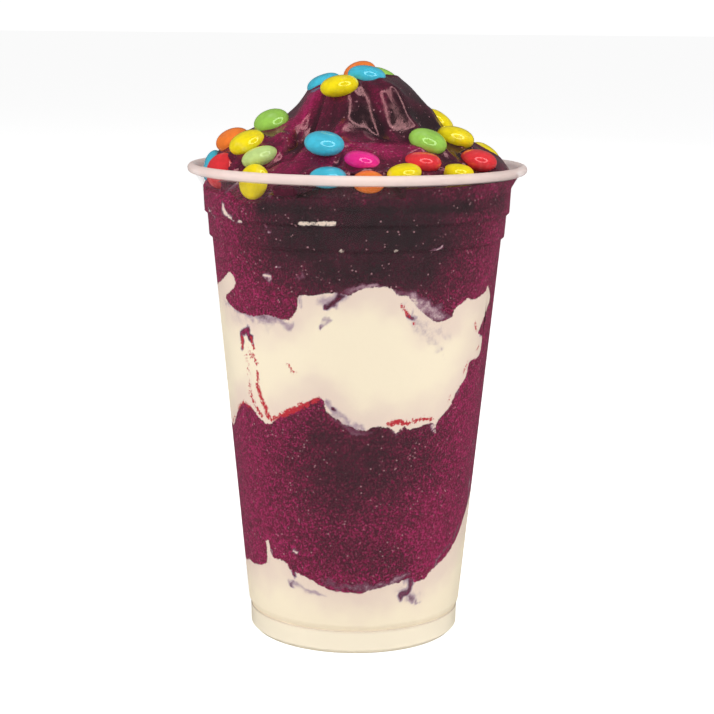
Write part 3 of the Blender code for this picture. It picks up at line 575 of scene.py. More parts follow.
def layer_shape(name, wall_rows, low, high, set_back=False):
    """Make one layer: a face below, a wall against the cup and a face above, from its edges round the wall.

    low and high take azimuths and give a face's edge height, its centre height and its height at the wall.
    """
    section = [(0, 0, FACE_RINGS), (1, 0, wall_rows), (1, 1, FACE_RINGS), (0, 1, 0)]
    mesh = turned(name, section, CONTENTS_TURNS)
    flat = read_places(mesh)
    azimuth = np.degrees(np.arctan2(flat[:, 0], -flat[:, 1]))
    share, rise = np.minimum(np.hypot(flat[:, 0], flat[:, 1]), 1), flat[:, 2]
    low_edge, low_centre, low_end = low(azimuth)
    high_edge, high_centre, high_end = high(azimuth)
    wall_height = low_end + (high_end - low_end) * np.clip(rise, 0, 1)
    step_back = CREAM_SET_BACK * smooth_step(0.6, 1.0, joined(azimuth)) if set_back else 0.0
    radius = inside_radius(wall_height) + REACH - step_back
    height = wall_height.copy()
    under, over = rise < 1e-4, rise > 1 - 1e-4
    for face, edge, centre in ((under, low_edge, low_centre), (over, high_edge, high_centre)):
        face = face & (share < 1 - 1e-4)
        face_height, inner = layer_face(share, azimuth, edge, centre, FACE_RINGS)
        face_radius = (inside_radius(face_height) - 1) * inner
        height[face], radius[face] = face_height[face], face_radius[face]
    turn = np.radians(azimuth)
    places = np.stack([radius * np.sin(turn), -radius * np.cos(turn), height], axis=1)
    write_places(mesh, places)
    mesh.set_sharp_from_angle(angle=SHARP_TURN)
    paint_wall(mesh, places, np.zeros(len(places)))
    return mesh


def base_floor(azimuth):
    """Give the cream base's underside, just into the cup's floor."""
    floor = np.full_like(azimuth, FLOOR_TOP - REACH)
    return floor, floor, floor


def base_top(azimuth):
    """Give the cream base's upper face."""
    edge = on_wall(CREAM_BASE_EDGE, azimuth)
    return edge, CREAM_BASE_CENTRE, edge


def middle_low(azimuth):
    """Give the middle cream's underside."""
    edge = on_wall(CREAM_MIDDLE_LOW, azimuth)
    return edge, CREAM_MIDDLE_LOW_CENTRE, edge


def middle_top(azimuth):
    """Give the middle cream's upper face."""
    edge = on_wall(CREAM_MIDDLE_TOP, azimuth)
    return edge, CREAM_MIDDLE_TOP_CENTRE, edge


def acai_meeting(azimuth):
    """Give the height at which the two acai layers meet beside the cream."""
    return (on_wall(CREAM_MIDDLE_LOW, azimuth) + on_wall(CREAM_MIDDLE_TOP, azimuth)) / 2


def lower_acai_top(azimuth):
    """Give the lower acai's upper face, which climbs past the cream where the acai layers meet."""
    edge = on_wall(CREAM_MIDDLE_LOW, azimuth)
    end = edge + (acai_meeting(azimuth) - edge) * joined(azimuth)
    return edge, CREAM_MIDDLE_LOW_CENTRE, end


def upper_acai_low(azimuth):
    """Give the upper acai's underside, which reaches down past the cream where the acai layers meet."""
    edge = on_wall(CREAM_MIDDLE_TOP, azimuth)
    end = edge + (acai_meeting(azimuth) - edge) * joined(azimuth)
    return edge, CREAM_MIDDLE_TOP_CENTRE, end


# How deep the acai is drawn in at most, how wide the way past a candy is in candy widths, how near the wall
# a candy has to be for it, and how far round the candy its way is looked for.
WAY_DEPTH = 7.0
WAY_MARGIN = 1.14
WAY_NEAR = 1.2
WAY_SPREAD = 9.0


class Candy:
    """One packed candy: its centre, the frame it lies in, and its two half sizes, in millimetres."""

    def __init__(self, name):
        places = np.unique(np.round(read_places(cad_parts[name].data) / MM, 4), axis=0)
        self.name = name
        self.colour = name.rsplit("_", 1)[1]
        self.centre = places.mean(axis=0)
        _, _, axes = np.linalg.svd(places - self.centre, full_matrices=False)
        if axes[2][2] < 0:
            axes[2] = -axes[2]
        axes[1] = np.cross(axes[2], axes[0])
        self.axes = axes
        local = (places - self.centre) @ axes.T
        self.radius = float(np.hypot(local[:, 0], local[:, 1]).max())
        self.half_thickness = float(np.abs(local[:, 2]).max())

    def set_back(self, places, inwards):
        """Say how far in places on the wall go, in millimetres, to pass behind the candy's outer half."""
        scale = np.array([self.radius, self.radius, self.half_thickness])
        start, step = (places - self.centre) @ self.axes.T / scale, inwards @ self.axes.T / scale
        travel = -(start * step).sum(axis=1) / (step * step).sum(axis=1)
        gap = np.sqrt(((start + travel[:, None] * step) ** 2).sum(axis=1))
        share = 1 - smooth_step(1.0, WAY_MARGIN, gap)
        return np.where(travel < WAY_DEPTH, share * np.maximum(travel, 0), 0.0)

    def nearness(self, places):
        """Say how far places are from the candy's shell, in millimetres; inside is below 0."""
        local = (places - self.centre) @ self.axes.T
        flat = np.hypot(local[:, 0], local[:, 1]) / self.radius
        scaled = np.sqrt(flat**2 + (local[:, 2] / self.half_thickness) ** 2)
        return (scaled - 1) * np.sqrt((local**2).sum(axis=1)) / np.maximum(scaled, 1e-6)


def packed_candies():
    """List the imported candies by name."""
    return [Candy(name) for name in sorted(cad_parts) if name.startswith("candy_")]


MOUND_TOP = 200.0
MOUND_CUTS = 112
MENISCUS_RISE = 0.5
MENISCUS_WIDTH = 0.8
# The mound's plain lightness, how far round a place its level is compared to find creases, and how much
# painted shade each millimetre of depth puts in creases; ridges get painted light the same way.
PLAIN_TONE = 0.45
CREASE_REACH = 1.3
CREASE_SHADE = 1.1
# Soft unevenness: the width of its swells and their rise, in millimetres.
UNEVENNESS = ((7.0, 0.10), (1.9, 0.03))
# The directions, in degrees off the straight way in, from which a candy at the wall is kept in sight.
SIGHT_TURNS = (-40, -20, 0, 20, 40)


def fine_mound(x, y):
    """Give the height of the mound's surface over a place in plan, with its fine folds."""
    return mound_height(x, y) + folded(x, y, FINE_FOLDS)


def make_way(places, wall, mound, candies):
    """Draw the acai in behind each candy that lies against the wall, so that it shows through the cup."""
    radius = np.hypot(places[:, 0], places[:, 1])
    inwards = -places * [1, 1, 0] / np.maximum(radius, 1e-6)[:, None]
    at_wall = places.copy()
    wall_radius = inside_radius(places[:, 2])
    at_wall[:, :2] *= (wall_radius / np.maximum(radius, 1e-6))[:, None]
    shift = np.zeros(len(places))
    for candy in candies:
        middle = math.hypot(*candy.centre[:2])
        if inside_radius(candy.centre[2]) - middle > candy.radius + WAY_NEAR:
            continue
        near = (np.abs(at_wall - candy.centre).max(axis=1) < WAY_SPREAD) & (wall | mound)
        for turn in np.radians(SIGHT_TURNS):
            aslant = inwards[near] * math.cos(turn) + np.cross([0, 0, 1], inwards[near]) * math.sin(turn)
            depth = candy.set_back(at_wall[near], aslant) * math.cos(turn)
            shift[near] = np.maximum(shift[near], depth)
    drawn = np.where(wall, radius - shift, radius)
    allowed = wall_radius + REACH - shift
    drawn = np.where(mound & (shift > 0), np.minimum(radius, allowed - 0.02 * (wall_radius - radius)), drawn)
    places[:, :2] *= (drawn / np.maximum(radius, 1e-6))[:, None]


def upper_acai_section():
    """List the section of the upper acai: underside, wall up over the cup's two bands, and the open mound."""
    stops = [(0, 0, FACE_RINGS), (1, 0, 26), (1, 1, 0)]
    heights = (STEP_LOWER_INNER[1], STEP_LOWER[1], STEP_UPPER_INNER[1], STEP_UPPER[1], FLARE_FOOT[1])
    for height, cuts in zip(heights, (1, 8, 1, 9, 0)):
        stops.append((1, height, cuts))
    return stops + [(1, MOUND_TOP, MOUND_CUTS), (0, MOUND_TOP, 0)]


def upper_acai_shape(candies):
    """Make the upper acai, with its fine folds, soft unevenness and its rise against each candy."""
    mesh = turned("acai_mound", upper_acai_section(), CONTENTS_TURNS)
    flat = read_places(mesh)
    azimuth = np.degrees(np.arctan2(flat[:, 0], -flat[:, 1]))
    share, level = np.minimum(np.hypot(flat[:, 0], flat[:, 1]), 1), flat[:, 2]
    edge, centre, end = upper_acai_low(azimuth)
    brim = np.maximum(on_wall(ACAI_EDGE, azimuth), on_wall(FILM_EDGE, azimuth))
    open_top = level > MOUND_TOP - 1
    height = np.where(level <= 1 + 1e-4, end + (UPPER_WALL_START - end) * np.clip(level, 0, 1), level)
    height = np.where(open_top, brim, height)
    radius = inside_radius(height) + REACH
    under = (level < 1e-4) & (share < 1 - 1e-4)
    face_height, inner = layer_face(share, azimuth, edge, centre, FACE_RINGS)
    height[under] = face_height[under]
    radius[under] = ((inside_radius(face_height) - 1) * inner)[under]
    radius = np.where(open_top, radius * share, radius)
    turn = np.radians(azimuth)
    places = np.stack([radius * np.sin(turn), -radius * np.cos(turn), height], axis=1)
    mound = open_top & (share < 1 - 1e-4)
    top = places[mound]
    top[:, 2] = fine_mound(top[:, 0], top[:, 1])
    around = [fine_mound(top[:, 0] + CREASE_REACH * math.cos(turn), top[:, 1] + CREASE_REACH * math.sin(turn))
              for turn in np.arange(8) * math.tau / 8]
    # Painted shade in creases and painted light on ridges, from how far the surface lies below or above its
    # surroundings.
    crease_shade = np.clip((np.mean(around, axis=0) - top[:, 2]) * CREASE_SHADE, -0.3, 0.5)
    tone_and_shade = PLAIN_TONE + folded(top[:, 0], top[:, 1], MOUND_TONES_AND_SHADE) - crease_shade
    inwards = smooth_step(0, 2.5, inside_radius(brim[mound]) + REACH - np.hypot(top[:, 0], top[:, 1]))
    top[:, 2] += sum(rise * layered_noise(top, size) for size, rise in UNEVENNESS) * inwards
    for candy in candies:
        gap = np.abs(candy.nearness(top))
        top[:, 2] += MENISCUS_RISE * np.exp(-((gap / MENISCUS_WIDTH) ** 2)) * inwards
    places[mound] = top
    make_way(places, np.hypot(flat[:, 0], flat[:, 1]) > 1 - 1e-4, mound, candies)
    write_places(mesh, places)
    tones_and_shade = np.full(len(places), PLAIN_TONE)
    tones_and_shade[mound] = tone_and_shade
    write_attribute(mesh, "mound_tone", tones_and_shade)
    open_share = np.where(mound, smooth_step(0, 0.03, 1 - share), 0.0)
    paint_wall(mesh, places, open_share)
    on_top = np.array([open_top[list(polygon.vertices)].all() for polygon in mesh.polygons])
    mesh.polygons.foreach_set("material_index", on_top.astype(np.int32))
    mesh.set_sharp_from_angle(angle=SHARP_TURN)
    return mesh


class Signal:
    """One output of a node. Arithmetic on it adds Math nodes."""

    def __init__(self, finish, socket):
        self.finish, self.socket = finish, socket

    def maths(self, operation, first, second):
        return self.finish.node("ShaderNodeMath", {"operation": operation}, {0: first, 1: second})

    def __add__(self, other):
        return self.maths("ADD", self, other)

    __radd__ = __add__

    def __mul__(self, other):
        return self.maths("MULTIPLY", self, other)

    __rmul__ = __mul__

    def __sub__(self, other):
        return self.maths("SUBTRACT", self, other)

    def __rsub__(self, other):
        return self.maths("SUBTRACT", other, self)

    def __pow__(self, other):
        return self.maths("POWER", self, other)


class Finish:
    """A material in the making."""

    def __init__(self, name):
        self.material = bpy.data.materials.new(name)
        self.material.use_nodes = True
        self.tree = self.material.node_tree
        self.tree.nodes.clear()
        self.output = self.tree.nodes.new("ShaderNodeOutputMaterial")

    def node(self, kind, settings=(), sockets=(), output=0):
        """Add a node: its settings, then the values or links of its sockets. Gives one of its outputs."""
        made = self.tree.nodes.new(kind)
        for setting, value in dict(settings).items():
            if setting == "stops":
                while len(made.color_ramp.elements) < len(value):
                    made.color_ramp.elements.new(0.5)
                for element, (position, colour) in zip(made.color_ramp.elements, value):
                    element.position, element.color = position, (*colour, 1)
            else:
                setattr(made, setting, value)
        for name, value in dict(sockets).items():
            if isinstance(value, Signal):
                self.tree.links.new(value.socket, made.inputs[name])
            else:
                made.inputs[name].default_value = value
        return Signal(self, made.outputs[output])

    def place(self, turned=False):
        """Give the piece's own coordinates, in metres; turned, no pattern in them lines up with the cup."""
        place = self.node("ShaderNodeTexCoord", output=3)
        if turned:
            place = self.node("ShaderNodeMapping", {}, {"Vector": place, "Rotation": (0.6, 0.9, 0.4)})
        return place

    def stored(self, name):
        """Read a number stored on the mesh."""
        return self.node("ShaderNodeAttribute", {"attribute_name": name}, output=2)

    def grain(self, size, detail=2.0, roughness=0.5):
        """Give noise whose swells are size millimetres wide."""
        sockets = {"Scale": 1 / (size * MM), "Detail": detail, "Roughness": roughness}
        sockets["Vector"] = self.place(turned=True)
        return self.node("ShaderNodeTexNoise", {"noise_dimensions": "3D"}, sockets)

    def dots(self, spacing, output=0):
        """Give the distance to, or the colour of, the nearest of points about spacing millimetres apart."""
        sockets = {"Scale": 1 / (spacing * MM), "Vector": self.place(turned=True)}
        return self.node("ShaderNodeTexVoronoi", {"feature": "F1"}, sockets, output)

    def ease(self, signal, low, high):
        """Rise smoothly from 0 at low to 1 at high."""
        settings = {"interpolation_type": "SMOOTHSTEP"}
        return self.node("ShaderNodeMapRange", settings, {"Value": signal, "From Min": low, "From Max": high})

    def blend(self, factor, first, second):
        """Mix two colours."""
        sockets = {0: factor, 6: colour_of(first), 7: colour_of(second)}
        return self.node("ShaderNodeMix", {"data_type": "RGBA"}, sockets, output=2)

    def bump(self, height, distance, strength=1.0):
        """Turn a height between 0 and 1 into a shading normal; distance is in millimetres."""
        sockets = {"Height": height, "Distance": distance * MM, "Strength": strength}
        return self.node("ShaderNodeBump", {}, sockets)

    def surface(self, shader):
        """Use a shader as the material's surface."""
        self.tree.links.new(shader.socket, self.output.inputs["Surface"])
        return self.material


def colour_of(value):
    """Give a colour four channels."""
    return value if isinstance(value, Signal) else (*tuple(value)[:3], 1.0)


def acai_grains(finish, level, acai, strength=1.0):
    """Give frozen acai's colour: bright grains on a dark ground, and more of them where level is higher."""
    fine, mottle = finish.grain(0.5, 3.0, 0.8), finish.grain(2.0, 3.0, 0.6)
    crystals = finish.node("ShaderNodeSeparateColor", {}, {0: finish.dots(0.33, output=1)})
    grains = (crystals**3 - 0.25) * 0.86 + (fine - 0.5) * 0.36 + (mottle - 0.5) * 0.42
    value = level * 0.64 + 0.03 + grains * (level * 0.9 + 0.16) * strength
    # The darkest stop serves dense acai and painted shade alike.
    stops = [(0.0, acai.dense_shaded_colour), (0.34, acai.shade_colour), (0.72, acai.body_colour),
             (1.0, acai.grain_colour)]
    body = finish.node("ShaderNodeValToRGB", {"stops": stops}, {0: value})
    specks = finish.ease(finish.dots(1.1), 0.25, 0.11) * finish.ease(finish.grain(2.2, 1.0), 0.52, 0.62)
    return finish.blend(specks * 0.6, body, acai.speck_colour)


def thinned(finish, share, body, pale, thinnest, thin):
    """Colour cream that covers the acai by a share, through two colours of thin cream."""
    colour = finish.blend(finish.ease(share, 0.02, 0.33), body, thinnest)
    colour = finish.blend(finish.ease(share, 0.30, 0.64), colour, thin)
    return finish.blend(finish.ease(share, 0.60, 0.95), colour, pale)


def contents_colour(finish, acai, cream):
    """Mix acai, thin films, bruised cream, cream and red juice by what each vertex stores."""
    fine, rag = finish.grain(0.55, 3.0, 0.7) - 0.5, finish.grain(1.9, 4.0, 0.65) - 0.5
    # A low level darkens the acai: dense acai, and painted shade across the front.
    level = 1.2 - finish.stored("dark_acai") * 1.2 + (finish.grain(7.0, 4.0, 0.6) - 0.5) * 0.55
    body = acai_grains(finish, level, acai)
    depth = finish.stored("cream_depth") + rag * 0.9 + fine * 1.1
    inside = finish.ease(depth, -0.14, 0.14)
    warmth = finish.ease(depth + (finish.grain(6.0, 2.0) - 0.5) * 8.0, 0.2, 9.0)
    pale = finish.blend(warmth, cream.edge_colour, cream.body_colour)
    film, mark, juice = finish.stored("cream_film"), finish.stored("acai_bruise"), finish.stored("red_streak")
    # Two of the film strokes are painted highlights on the wall's bands.
    veil = finish.ease(film + rag * 0.6 + fine * 0.45, 0.10, 0.98) * finish.ease(film, 0.02, 0.16)
    bruise = finish.ease(mark + rag * 0.34 + fine * 0.22, 0.02, 0.98) * finish.ease(mark, 0.02, 0.14)
    filmed = thinned(finish, veil * (1 - bruise), body, pale, cream.film_colour, cream.smear_colour)
    solid = thinned(finish, 1 - bruise, body, pale, cream.bruise_colour, cream.lilac_colour)
    colour = finish.blend(inside, filmed, solid)
    red = finish.ease(juice + rag * 1.3 + fine * 3.0, 0.28, 0.70) * finish.ease(juice, 0.03, 0.25)
    return finish.blend(red, colour, cream.juice_colour)


def wall_finish(name, settings):
    """Make the finish of contents pressed against the cup."""
    finish = Finish(name)
    colour = contents_colour(finish, settings.acai, settings.cream)
    sockets = {"Base Color": colour, "Roughness": 0.6, "Specular IOR Level": 0.05}
    sockets["Normal"] = finish.bump(finish.grain(0.8, 3.0), 0.04)
    return finish.surface(finish.node("ShaderNodeBsdfPrincipled", {}, sockets))


def mound_finish(name, acai):
    """Make the finish of the open acai: smooth, wet and lightly speckled, with painted shade in its creases
    and painted light and shade over broad parts.
    """
    finish = Finish(name)
    mottle, drift = finish.grain(1.6, 3.0, 0.6), finish.grain(6.0, 3.0, 0.5)
    # The stored lightness holds painted light and shade along with the mound's own uneven colour.
    level = finish.stored("mound_tone") + (mottle - 0.5) * 0.3 + (drift - 0.5) * 0.4
    body = acai_grains(finish, level, acai, 0.45)
    rough = 0.12 + finish.ease(mottle, 0.42, 0.72) * 0.16
    waves = finish.grain(1.1, 3.0, 0.55) + finish.grain(0.35, 1.0) * 0.25
    sockets = {"Base Color": body, "Roughness": rough, "Specular IOR Level": acai.wetness,
               "Specular Tint": (1.0, 0.46, 0.48, 1.0), "Normal": finish.bump(waves, 0.05)}
    return finish.surface(finish.node("ShaderNodeBsdfPrincipled", {}, sockets))


def plastic_finish(name, cup):
    """Make the cup's clear plastic: see-through and glossy, and milky where the rim is rolled."""
    finish = Finish(name)
    height = finish.node("ShaderNodeSeparateXYZ", {}, {0: finish.place()}, output=2)
    bead_foot = RIM_TOP - 2 * BEAD_RADIUS
    rolled = finish.ease(height, (bead_foot - 0.35) * MM, (bead_foot + 0.25) * MM)
    foot = finish.ease(height, (BASE_RING_TOP[1] - 0.3) * MM, (BASE_RING_TOP[1] - 1.3) * MM)
    across = finish.node("ShaderNodeSeparateXYZ", {}, {0: finish.place()})
    cloud = finish.grain(5.0, 2.0) * 0.14 - 0.07 - finish.ease(across, 0, NECK[0] * MM) * cup.rim_thinning
    milk = cup.wall_milk + rolled * (cloud + cup.rim_milk) + foot * 0.92
    ripple = finish.bump(finish.grain(2.5, 2.0), 0.02)
    clear = finish.node("ShaderNodeBsdfTransparent", {}, {"Color": (1, 1, 1, 1)})
    sockets = {"Color": (1, 1, 1, 1), "Roughness": 0.07, "Normal": ripple}
    gloss = finish.node("ShaderNodeBsdfGlossy", {}, sockets)
    sheen = finish.node("ShaderNodeFresnel", {}, {"IOR": 1.15, "Normal": ripple})
    sheen = finish.node("ShaderNodeMath", {"operation": "MINIMUM"}, {0: sheen, 1: 0.10})
    wall = finish.node("ShaderNodeMixShader", {}, {0: sheen, 1: clear, 2: gloss})
    milk_colour = finish.blend(foot, cup.milk_colour, cup.foot_colour)
    sockets = {"Base Color": milk_colour, "Roughness": 0.3, "Normal": ripple}
    milky = finish.node("ShaderNodeBsdfPrincipled", {}, sockets)
    return finish.surface(finish.node("ShaderNodeMixShader", {}, {0: milk, 1: wall, 2: milky}))


def shell_finish(name, colour, candies):
    """Make a candy's sugar shell: glossy, with a faint mottle and pale rubbed places."""
    finish = Finish(name)
    mottle = finish.grain(2.2, 3.0, 0.6)
    pale = tuple(channel + (1 - channel) * 0.25 for channel in colour)
    deep = tuple(channel * 0.85 for channel in colour)
    body = finish.blend(finish.ease(mottle, 0.35, 0.65), deep, colour)
    body = finish.blend(finish.ease(finish.grain(3.4, 2.0), 0.58, 0.80) * 0.35, body, pale)
    tint = tuple(0.45 + channel * 0.55 for channel in colour)
    sockets = {"Base Color": body, "Roughness": 0.05 + finish.ease(mottle, 0.5, 0.8) * 0.04,
               "Specular IOR Level": candies.shine, "Specular Tint": (*tint, 1.0),
               "Normal": finish.bump(finish.grain(1.4, 3.0), 0.014)}
    return finish.surface(finish.node("ShaderNodeBsdfPrincipled", {}, sockets))


RING_LAMP_RADIUS = 0.42
RING_LAMP_WIDTH = 0.145
RING_LAMP_DISTANCE = 0.66
RING_LAMP_AIM = 0.12
PANEL_AIM = 0.07


def colour_setting(name, description, default):
    """Declare a colour for the panel."""
    return FloatVectorProperty(name=name, description=description, subtype="COLOR", size=3, default=default,
                               min=0, max=1)


def share_setting(name, description, default):
    """Declare a number from 0 to 1 for the panel."""
    return FloatProperty(name=name, description=description, default=default, min=0, max=1)


def strength_setting(name, description, default):
    """Declare a number from 0 up for the panel."""
    return FloatProperty(name=name, description=description, default=default, min=0)


class AcaiCupPlastic(bpy.types.PropertyGroup):
    """The clear cup."""

    wall_milk: share_setting("Wall milkiness", "How much white the clear wall adds", 0.014)
    rim_milk: share_setting("Rim milkiness", "How milky the rolled rim is", 0.78)
    rim_thinning: share_setting("Rim thinning", "How much less milky the rim is on its right side", 0.22)
    milk_colour: colour_setting("Milky colour", "Colour of the milky plastic", (1.0, 0.81, 0.75))
    foot_colour: colour_setting("Foot colour", "Colour that the cream above lends to the foot ring",
                                (1.0, 0.90, 0.71))


class AcaiCupCream(bpy.types.PropertyGroup):
    """The cream layers."""

    body_colour: colour_setting("Cream", "Colour of the thick cream", (0.95, 0.84, 0.64))
    lilac_colour: colour_setting("Lilac cream", "Colour of cream that acai shows through", (0.46, 0.34, 0.38))
    edge_colour: colour_setting("Cream near acai", "Colour of cream that has taken up acai",
                                (0.83, 0.68, 0.57))
    film_colour: colour_setting("Thin cream", "Colour of a thin film of cream over acai",
                                (0.16, 0.052, 0.090))
    smear_colour: colour_setting("Smeared cream", "Colour of a thicker smear of cream over acai",
                                 (0.36, 0.21, 0.26))
    bruise_colour: colour_setting("Bruise", "Colour of acai that lies just behind cream",
                                  (0.13, 0.050, 0.090))
    juice_colour: colour_setting("Juice", "Colour of the red juice streaks", (0.52, 0.028, 0.042))


class AcaiCupAcai(bpy.types.PropertyGroup):
    """The acai layers and the mound."""

    # The darkest acai colour: dense acai, and also painted shade across the front and in the mound's creases.
    dense_shaded_colour: colour_setting("Dense acai", "Colour where the acai holds no air", (0.022, 0.012, 0.016))
    shade_colour: colour_setting("Shaded acai", "Colour of the dark ground between the grains",
                                 (0.082, 0.013, 0.030))
    body_colour: colour_setting("Acai", "Main colour of the acai", (0.23, 0.014, 0.060))
    grain_colour: colour_setting("Ice grains", "Colour of the fine frozen grains", (0.37, 0.019, 0.105))
    speck_colour: colour_setting("Pale specks", "Colour of the sparse pale specks", (0.55, 0.26, 0.30))
    wetness: share_setting("Wetness", "Strength of the mound's shine", 1.0)


class AcaiCupCandies(bpy.types.PropertyGroup):
    """The sugar-shelled candies."""

    orange: colour_setting("Orange", "Orange shell", (0.98, 0.235, 0.036))
    blue: colour_setting("Blue", "Blue shell", (0.07, 0.55, 0.74))
    green: colour_setting("Green", "Green shell", (0.35, 0.65, 0.10))
    lime: colour_setting("Light green", "Light green shell", (0.59, 0.77, 0.27))
    yellow: colour_setting("Yellow", "Yellow shell", (0.99, 0.79, 0.010))
    red: colour_setting("Red", "Red shell", (0.85, 0.045, 0.055))
    pink: colour_setting("Pink", "Pink shell", (0.92, 0.030, 0.30))
    shine: share_setting("Shine", "Strength of the shell's polish", 1.0)


class AcaiCupStage(bpy.types.PropertyGroup):
    """Camera, floor and lights."""

    distance: FloatProperty(name="Camera distance", description="How far in front of the cup the camera is",
                            default=-EYE[1] * MM, min=0.1, unit="LENGTH")
    height: FloatProperty(name="Camera height", description="Height of the camera over the floor",
                          default=EYE[2] * MM, unit="LENGTH")
    side: FloatProperty(name="Camera offset", description="How far to the right the camera stands",
                        default=EYE[0] * MM, unit="LENGTH")
    pitch: FloatProperty(name="Camera pitch", description="How far down the camera looks",
                         default=math.radians(EYE_DOWN), subtype="ANGLE")
    roll: FloatProperty(name="Camera roll", description="How far the camera turns about its line of sight",
                        default=math.radians(EYE_TURN), subtype="ANGLE")
    lens: FloatProperty(name="Lens", description="Focal length in millimetres", default=LENS, min=10)
    floor_colour: colour_setting("Floor", "Colour of the floor", (0.92, 0.92, 0.92))
    floor_glow: strength_setting("Floor glow", "How much the floor is whitened to the eye", 0.7)
    room_light: strength_setting("Room light", "Strength of the even white surroundings", 0.28)
    room_gloss: strength_setting("Room in reflections", "Strength of the surroundings in reflections", 0.12)
    ring_light: strength_setting("Ring lamp", "Strength of the ring lamp overhead", 4.5)
    ring_azimuth: FloatProperty(name="Ring lamp azimuth", description="How far to the right it hangs",
                                default=math.radians(34), subtype="ANGLE")
    ring_height: FloatProperty(name="Ring lamp elevation", description="How far over the horizon it hangs",
                               default=math.radians(48), subtype="ANGLE")
    left_light: strength_setting("Left panel", "Power of the large soft panel on the left, in watts", 9.4)
    right_light: strength_setting("Right panel", "Power of the large soft panel on the right, in watts", 2.6)
    front_light: strength_setting("Front panel", "Power of the large soft panel in front, in watts", 1.5)
    back_light: strength_setting("Back panel", "Power of the large soft panel behind, in watts", 2.5)


class AcaiCupSettings(bpy.types.PropertyGroup):
    """All the settings of the acai cup."""

    plastic: PointerProperty(type=AcaiCupPlastic, name="Plastic", description="The clear cup")
    cream: PointerProperty(type=AcaiCupCream, name="Cream", description="The cream layers")
    acai: PointerProperty(type=AcaiCupAcai, name="Acai", description="The acai layers and the mound")
    candies: PointerProperty(type=AcaiCupCandies, name="Candies", description="The sugar-shelled candies")
    stage: PointerProperty(type=AcaiCupStage, name="Stage", description="Camera, floor and lights")


class ACAI_CUP_OT_plastic(bpy.types.Operator):
    """Turn the clear plastic cup"""

    bl_idname = "acai_cup.plastic"
    bl_label = "Plastic cup"

    def execute(self, context):
        points = [(0, FLOOR_TOP)]
        centre = (BASE_RING_TOP[0] - WALL - FLOOR_CORNER, FLOOR_TOP + FLOOR_CORNER)
        for step in range(CORNER_STEPS + 1):
            angle = math.radians(step * 90 / CORNER_STEPS)
            across, down = FLOOR_CORNER * math.sin(angle), FLOOR_CORNER * math.cos(angle)
            points.append((centre[0] + across, centre[1] - down))
        points.extend(INNER_WALL[1:])
        for step in range(BEAD_STEPS + 1):
            angle = math.radians(180 - step * 270 / BEAD_STEPS)
            height = RIM_TOP - BEAD_RADIUS + BEAD_RADIUS * math.sin(angle)
            points.append((BEAD_CENTRE + BEAD_RADIUS * math.cos(angle), height))
        points.extend((NECK, FLARE_FOOT, STEP_UPPER, STEP_UPPER_INNER, STEP_LOWER, STEP_LOWER_INNER))
        points.extend((BODY_FOOT, BASE_RING_TOP, BASE_RING_FOOT, (FOOT_OUTER, 0.0), (FOOT_INNER, 0.0)))
        points.extend(((FLOOR_EDGE, FLOOR_UNDERSIDE), (0.0, FLOOR_UNDERSIDE)))
        mesh = turned("plastic_cup", [(radius, height, 0) for radius, height in points], CUP_TURNS)
        write_places(mesh, read_places(mesh))
        mesh.set_sharp_from_angle(angle=math.radians(35))
        mesh.materials.append(plastic_finish("Clear plastic", context.scene.acai_cup.plastic))
        add_piece(mesh, "cup_plastic", "cup")
        return {"FINISHED"}


class ACAI_CUP_OT_creams(bpy.types.Operator):
    """Fill in the two layers of cream"""

    bl_idname = "acai_cup.creams"
    bl_label = "Cream layers"

    def execute(self, context):
        finish = wall_finish("Cream against the wall", context.scene.acai_cup)
        for name, rows, low, high, set_back in (
            ("cream_foot", 30, base_floor, base_top, False),
            ("cream_band", 44, middle_low, middle_top, True),
        ):
            mesh = layer_shape(name, rows, low, high, set_back)
            mesh.materials.append(finish)
            add_piece(mesh, "cream", "cream_base" if name == "cream_foot" else "cream_middle")
        return {"FINISHED"}


class ACAI_CUP_OT_acai(bpy.types.Operator):
    """Fill in the lower acai, and heap the upper acai into its mound"""

    bl_idname = "acai_cup.acai"
    bl_label = "Acai layers and mound"

    def execute(self, context):
        settings = context.scene.acai_cup
        finish = wall_finish("Acai against the wall", settings)
        lower = layer_shape("acai_band", 66, base_top, lower_acai_top)
        lower.materials.append(finish)
        add_piece(lower, "acai", "acai_lower")
        upper = upper_acai_shape(packed_candies())
        upper.materials.append(finish)
        upper.materials.append(mound_finish("Open acai", settings.acai))
        add_piece(upper, "acai", "acai_upper")
        return {"FINISHED"}


class ACAI_CUP_OT_candies(bpy.types.Operator):
    """Set the sugar-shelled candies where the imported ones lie"""

    bl_idname = "acai_cup.candies"
    bl_label = "Candies"

    def execute(self, context):
        settings = context.scene.acai_cup.candies
        candies = packed_candies()
        if not candies:
            raise RuntimeError("the packed frame holds no candies")
        for colour in sorted({candy.colour for candy in candies}):
            same = [candy for candy in candies if candy.colour == colour]
            shape = bmesh.new()
            for candy in same:
                self.add_shell(shape, candy)
            mesh = bpy.data.meshes.new(f"shells_{colour}")
            shape.to_mesh(mesh)
            shape.free()
            mesh.shade_smooth()
            shade = tuple(getattr(settings, colour))
            mesh.materials.append(shell_finish(f"{colour.capitalize()} shell", shade, settings))
            add_piece(mesh, f"candy_{colour}", *[candy.name for candy in same])
        return {"FINISHED"}

    @staticmethod
    def add_shell(shape, candy):
        """Add one lentil: a ball, flattened, with its edge drawn in a little tighter than an ellipse."""
        made = bmesh.ops.create_uvsphere(shape, u_segments=40, v_segments=20, radius=1.0)
        verts = made["verts"]
        for vert in verts:
            reach = vert.co.xy.length
            pull = reach**0.86 / reach if reach > 1e-6 else 1.0
            vert.co = Vector((vert.co.x * candy.radius * pull, vert.co.y * candy.radius * pull,
                              vert.co.z * candy.half_thickness)) * MM
        turn = Matrix(candy.axes.tolist()).transposed().to_4x4()
        bmesh.ops.transform(shape, matrix=Matrix.Translation(Vector(candy.centre) * MM) @ turn, verts=verts)


